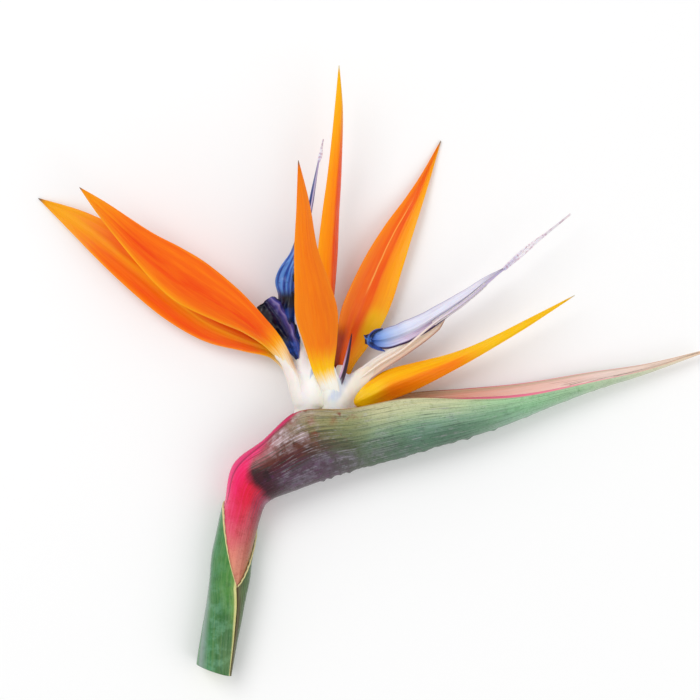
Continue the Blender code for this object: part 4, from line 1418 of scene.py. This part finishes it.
for flower, kind in arrows.items():
    route = lay_in_arrow(kind, kind["anthers_to"], GAP + BUNDLE_DEEP)
    stamens = braid(flower + "_stamens", anther_skin, route, STAMENS, stamen_spread, stamen_radius)
    settle(stamens, flower + "_stamens")


# Styles. One smooth thread lies over the anthers and runs past the arrow's tip, where it parts into the three
# close, sticky, tapering lobes of the stigma.
STYLE_RADIUS = 0.38
STYLE_TAPER = 0.3
LOBES = 3
LOBE_RADIUS = 0.34
style_skin, tree, shader = new_finish("style_skin", roughness=0.35, coat=0.2, glow=0.15)
place, along = object_place(tree), kept(tree, "along")
speckle = noise(place, 900, 3)
colour = ramp(along, [(0, "F8F0E6"), (0.4, "F6E2CE"), (0.6, "D8CEE2"), (1, "A79CC4")])
colour = stain(colour, "BFAEC4", fade(speckle, 0.5, 0.64), 0.2)
finish_with(shader, colour, speckle, depth=0.1)
stigma_skin, tree, shader = new_finish("stigma_skin", roughness=0.3, coat=0.35, glow=0.2)
place, along = object_place(tree), kept(tree, "along")
speckle = noise(place, 1100, 3)
colour = ramp(along, [(0, "CEC6DC"), (0.4, "F0EAF0"), (1, "D6CAD2")])
colour = stain(colour, "B98FA6", fade(speckle, 0.48, 0.62), 0.6)
finish_with(shader, colour, speckle, depth=0.2)


def style_radius(t):
    return STYLE_RADIUS * (1 - STYLE_TAPER * t)


def lobe_spread(t):
    """The lobes part quickly from the thread's end and come together again towards their tips."""
    return np.maximum(1 - t, 0.25) * (0.4 + 0.6 * np.minimum(1, 4 * t))


def lobe_radius(t):
    return 0.08 + LOBE_RADIUS * np.minimum(1, 0.6 + 2 * t) * (1 - t) ** 0.8


for flower, kind in arrows.items():
    route = lay_in_arrow(kind, 1, GAP + 2 * BUNDLE_DEEP + STYLE_RADIUS)
    thread = braid(flower + "_style", style_skin, route, 1, np.zeros_like, style_radius, sides=20)
    # the lobes start a little way back inside the thread's end
    lobes_route = np.array([route[-1] - 0.5 * unit(route[-1] - route[-2]), *kind["stigma"]])
    lobes = braid(
        flower + "_stigma", stigma_skin, lobes_route, LOBES,
        lambda t: kind["stigma_wide"] * lobe_spread(t), lobe_radius,
    )
    settle(join(flower + "_style", [thread, lobes]), flower + "_style")


# Floor, light and camera. A plain pale surface lies under the flower, two broad soft lamps and a white sky
# light it, and it is seen from straight above. Places here are in metres.
FLOOR_PALE = (0.93, 0.93, 0.93, 1)
FLOOR_WIDE = 4
SKY_STRENGTH = 0.7
KEY_WATTS = 7.7
FILL_WATTS = 4.5
CAMERA_PLACE = (-0.0072, 0.0084, 1.09)
CAMERA_LENS = 150.1

floor_finish, tree, shader = new_finish("pale_floor", roughness=0.9, shine=0.1)
shader.inputs["Base Color"].default_value = FLOOR_PALE
bpy.ops.mesh.primitive_plane_add(size=FLOOR_WIDE)
floor = bpy.context.object
floor.name = "floor"
floor.data.materials.append(floor_finish)

sky = bpy.data.worlds.new("studio")
sky.use_nodes = True
sky_light = sky.node_tree.nodes["Background"].inputs
sky_light["Color"].default_value = (1, 1, 1, 1)
sky_light["Strength"].default_value = SKY_STRENGTH
bpy.context.scene.world = sky


def softbox(name, place, size, watts):
    """A round soft lamp that faces the middle of the table."""
    light = bpy.data.lights.new(name, "AREA")
    light.shape = "DISK"
    light.size = size
    light.energy = watts
    lamp = add(name, light)
    lamp.location = place
    lamp.rotation_euler = (-Vector(place)).to_track_quat("-Z", "Y").to_euler()


softbox("key_light", (-0.7, 0.6, 1.2), 0.9, KEY_WATTS)
softbox("fill_light", (0.9, -0.5, 1.0), 1.2, FILL_WATTS)

camera = add("camera", bpy.data.cameras.new("camera"))
camera.location = CAMERA_PLACE
camera.data.lens = CAMERA_LENS
bpy.context.scene.camera = camera
bpy.context.scene.view_settings.view_transform = "Standard"
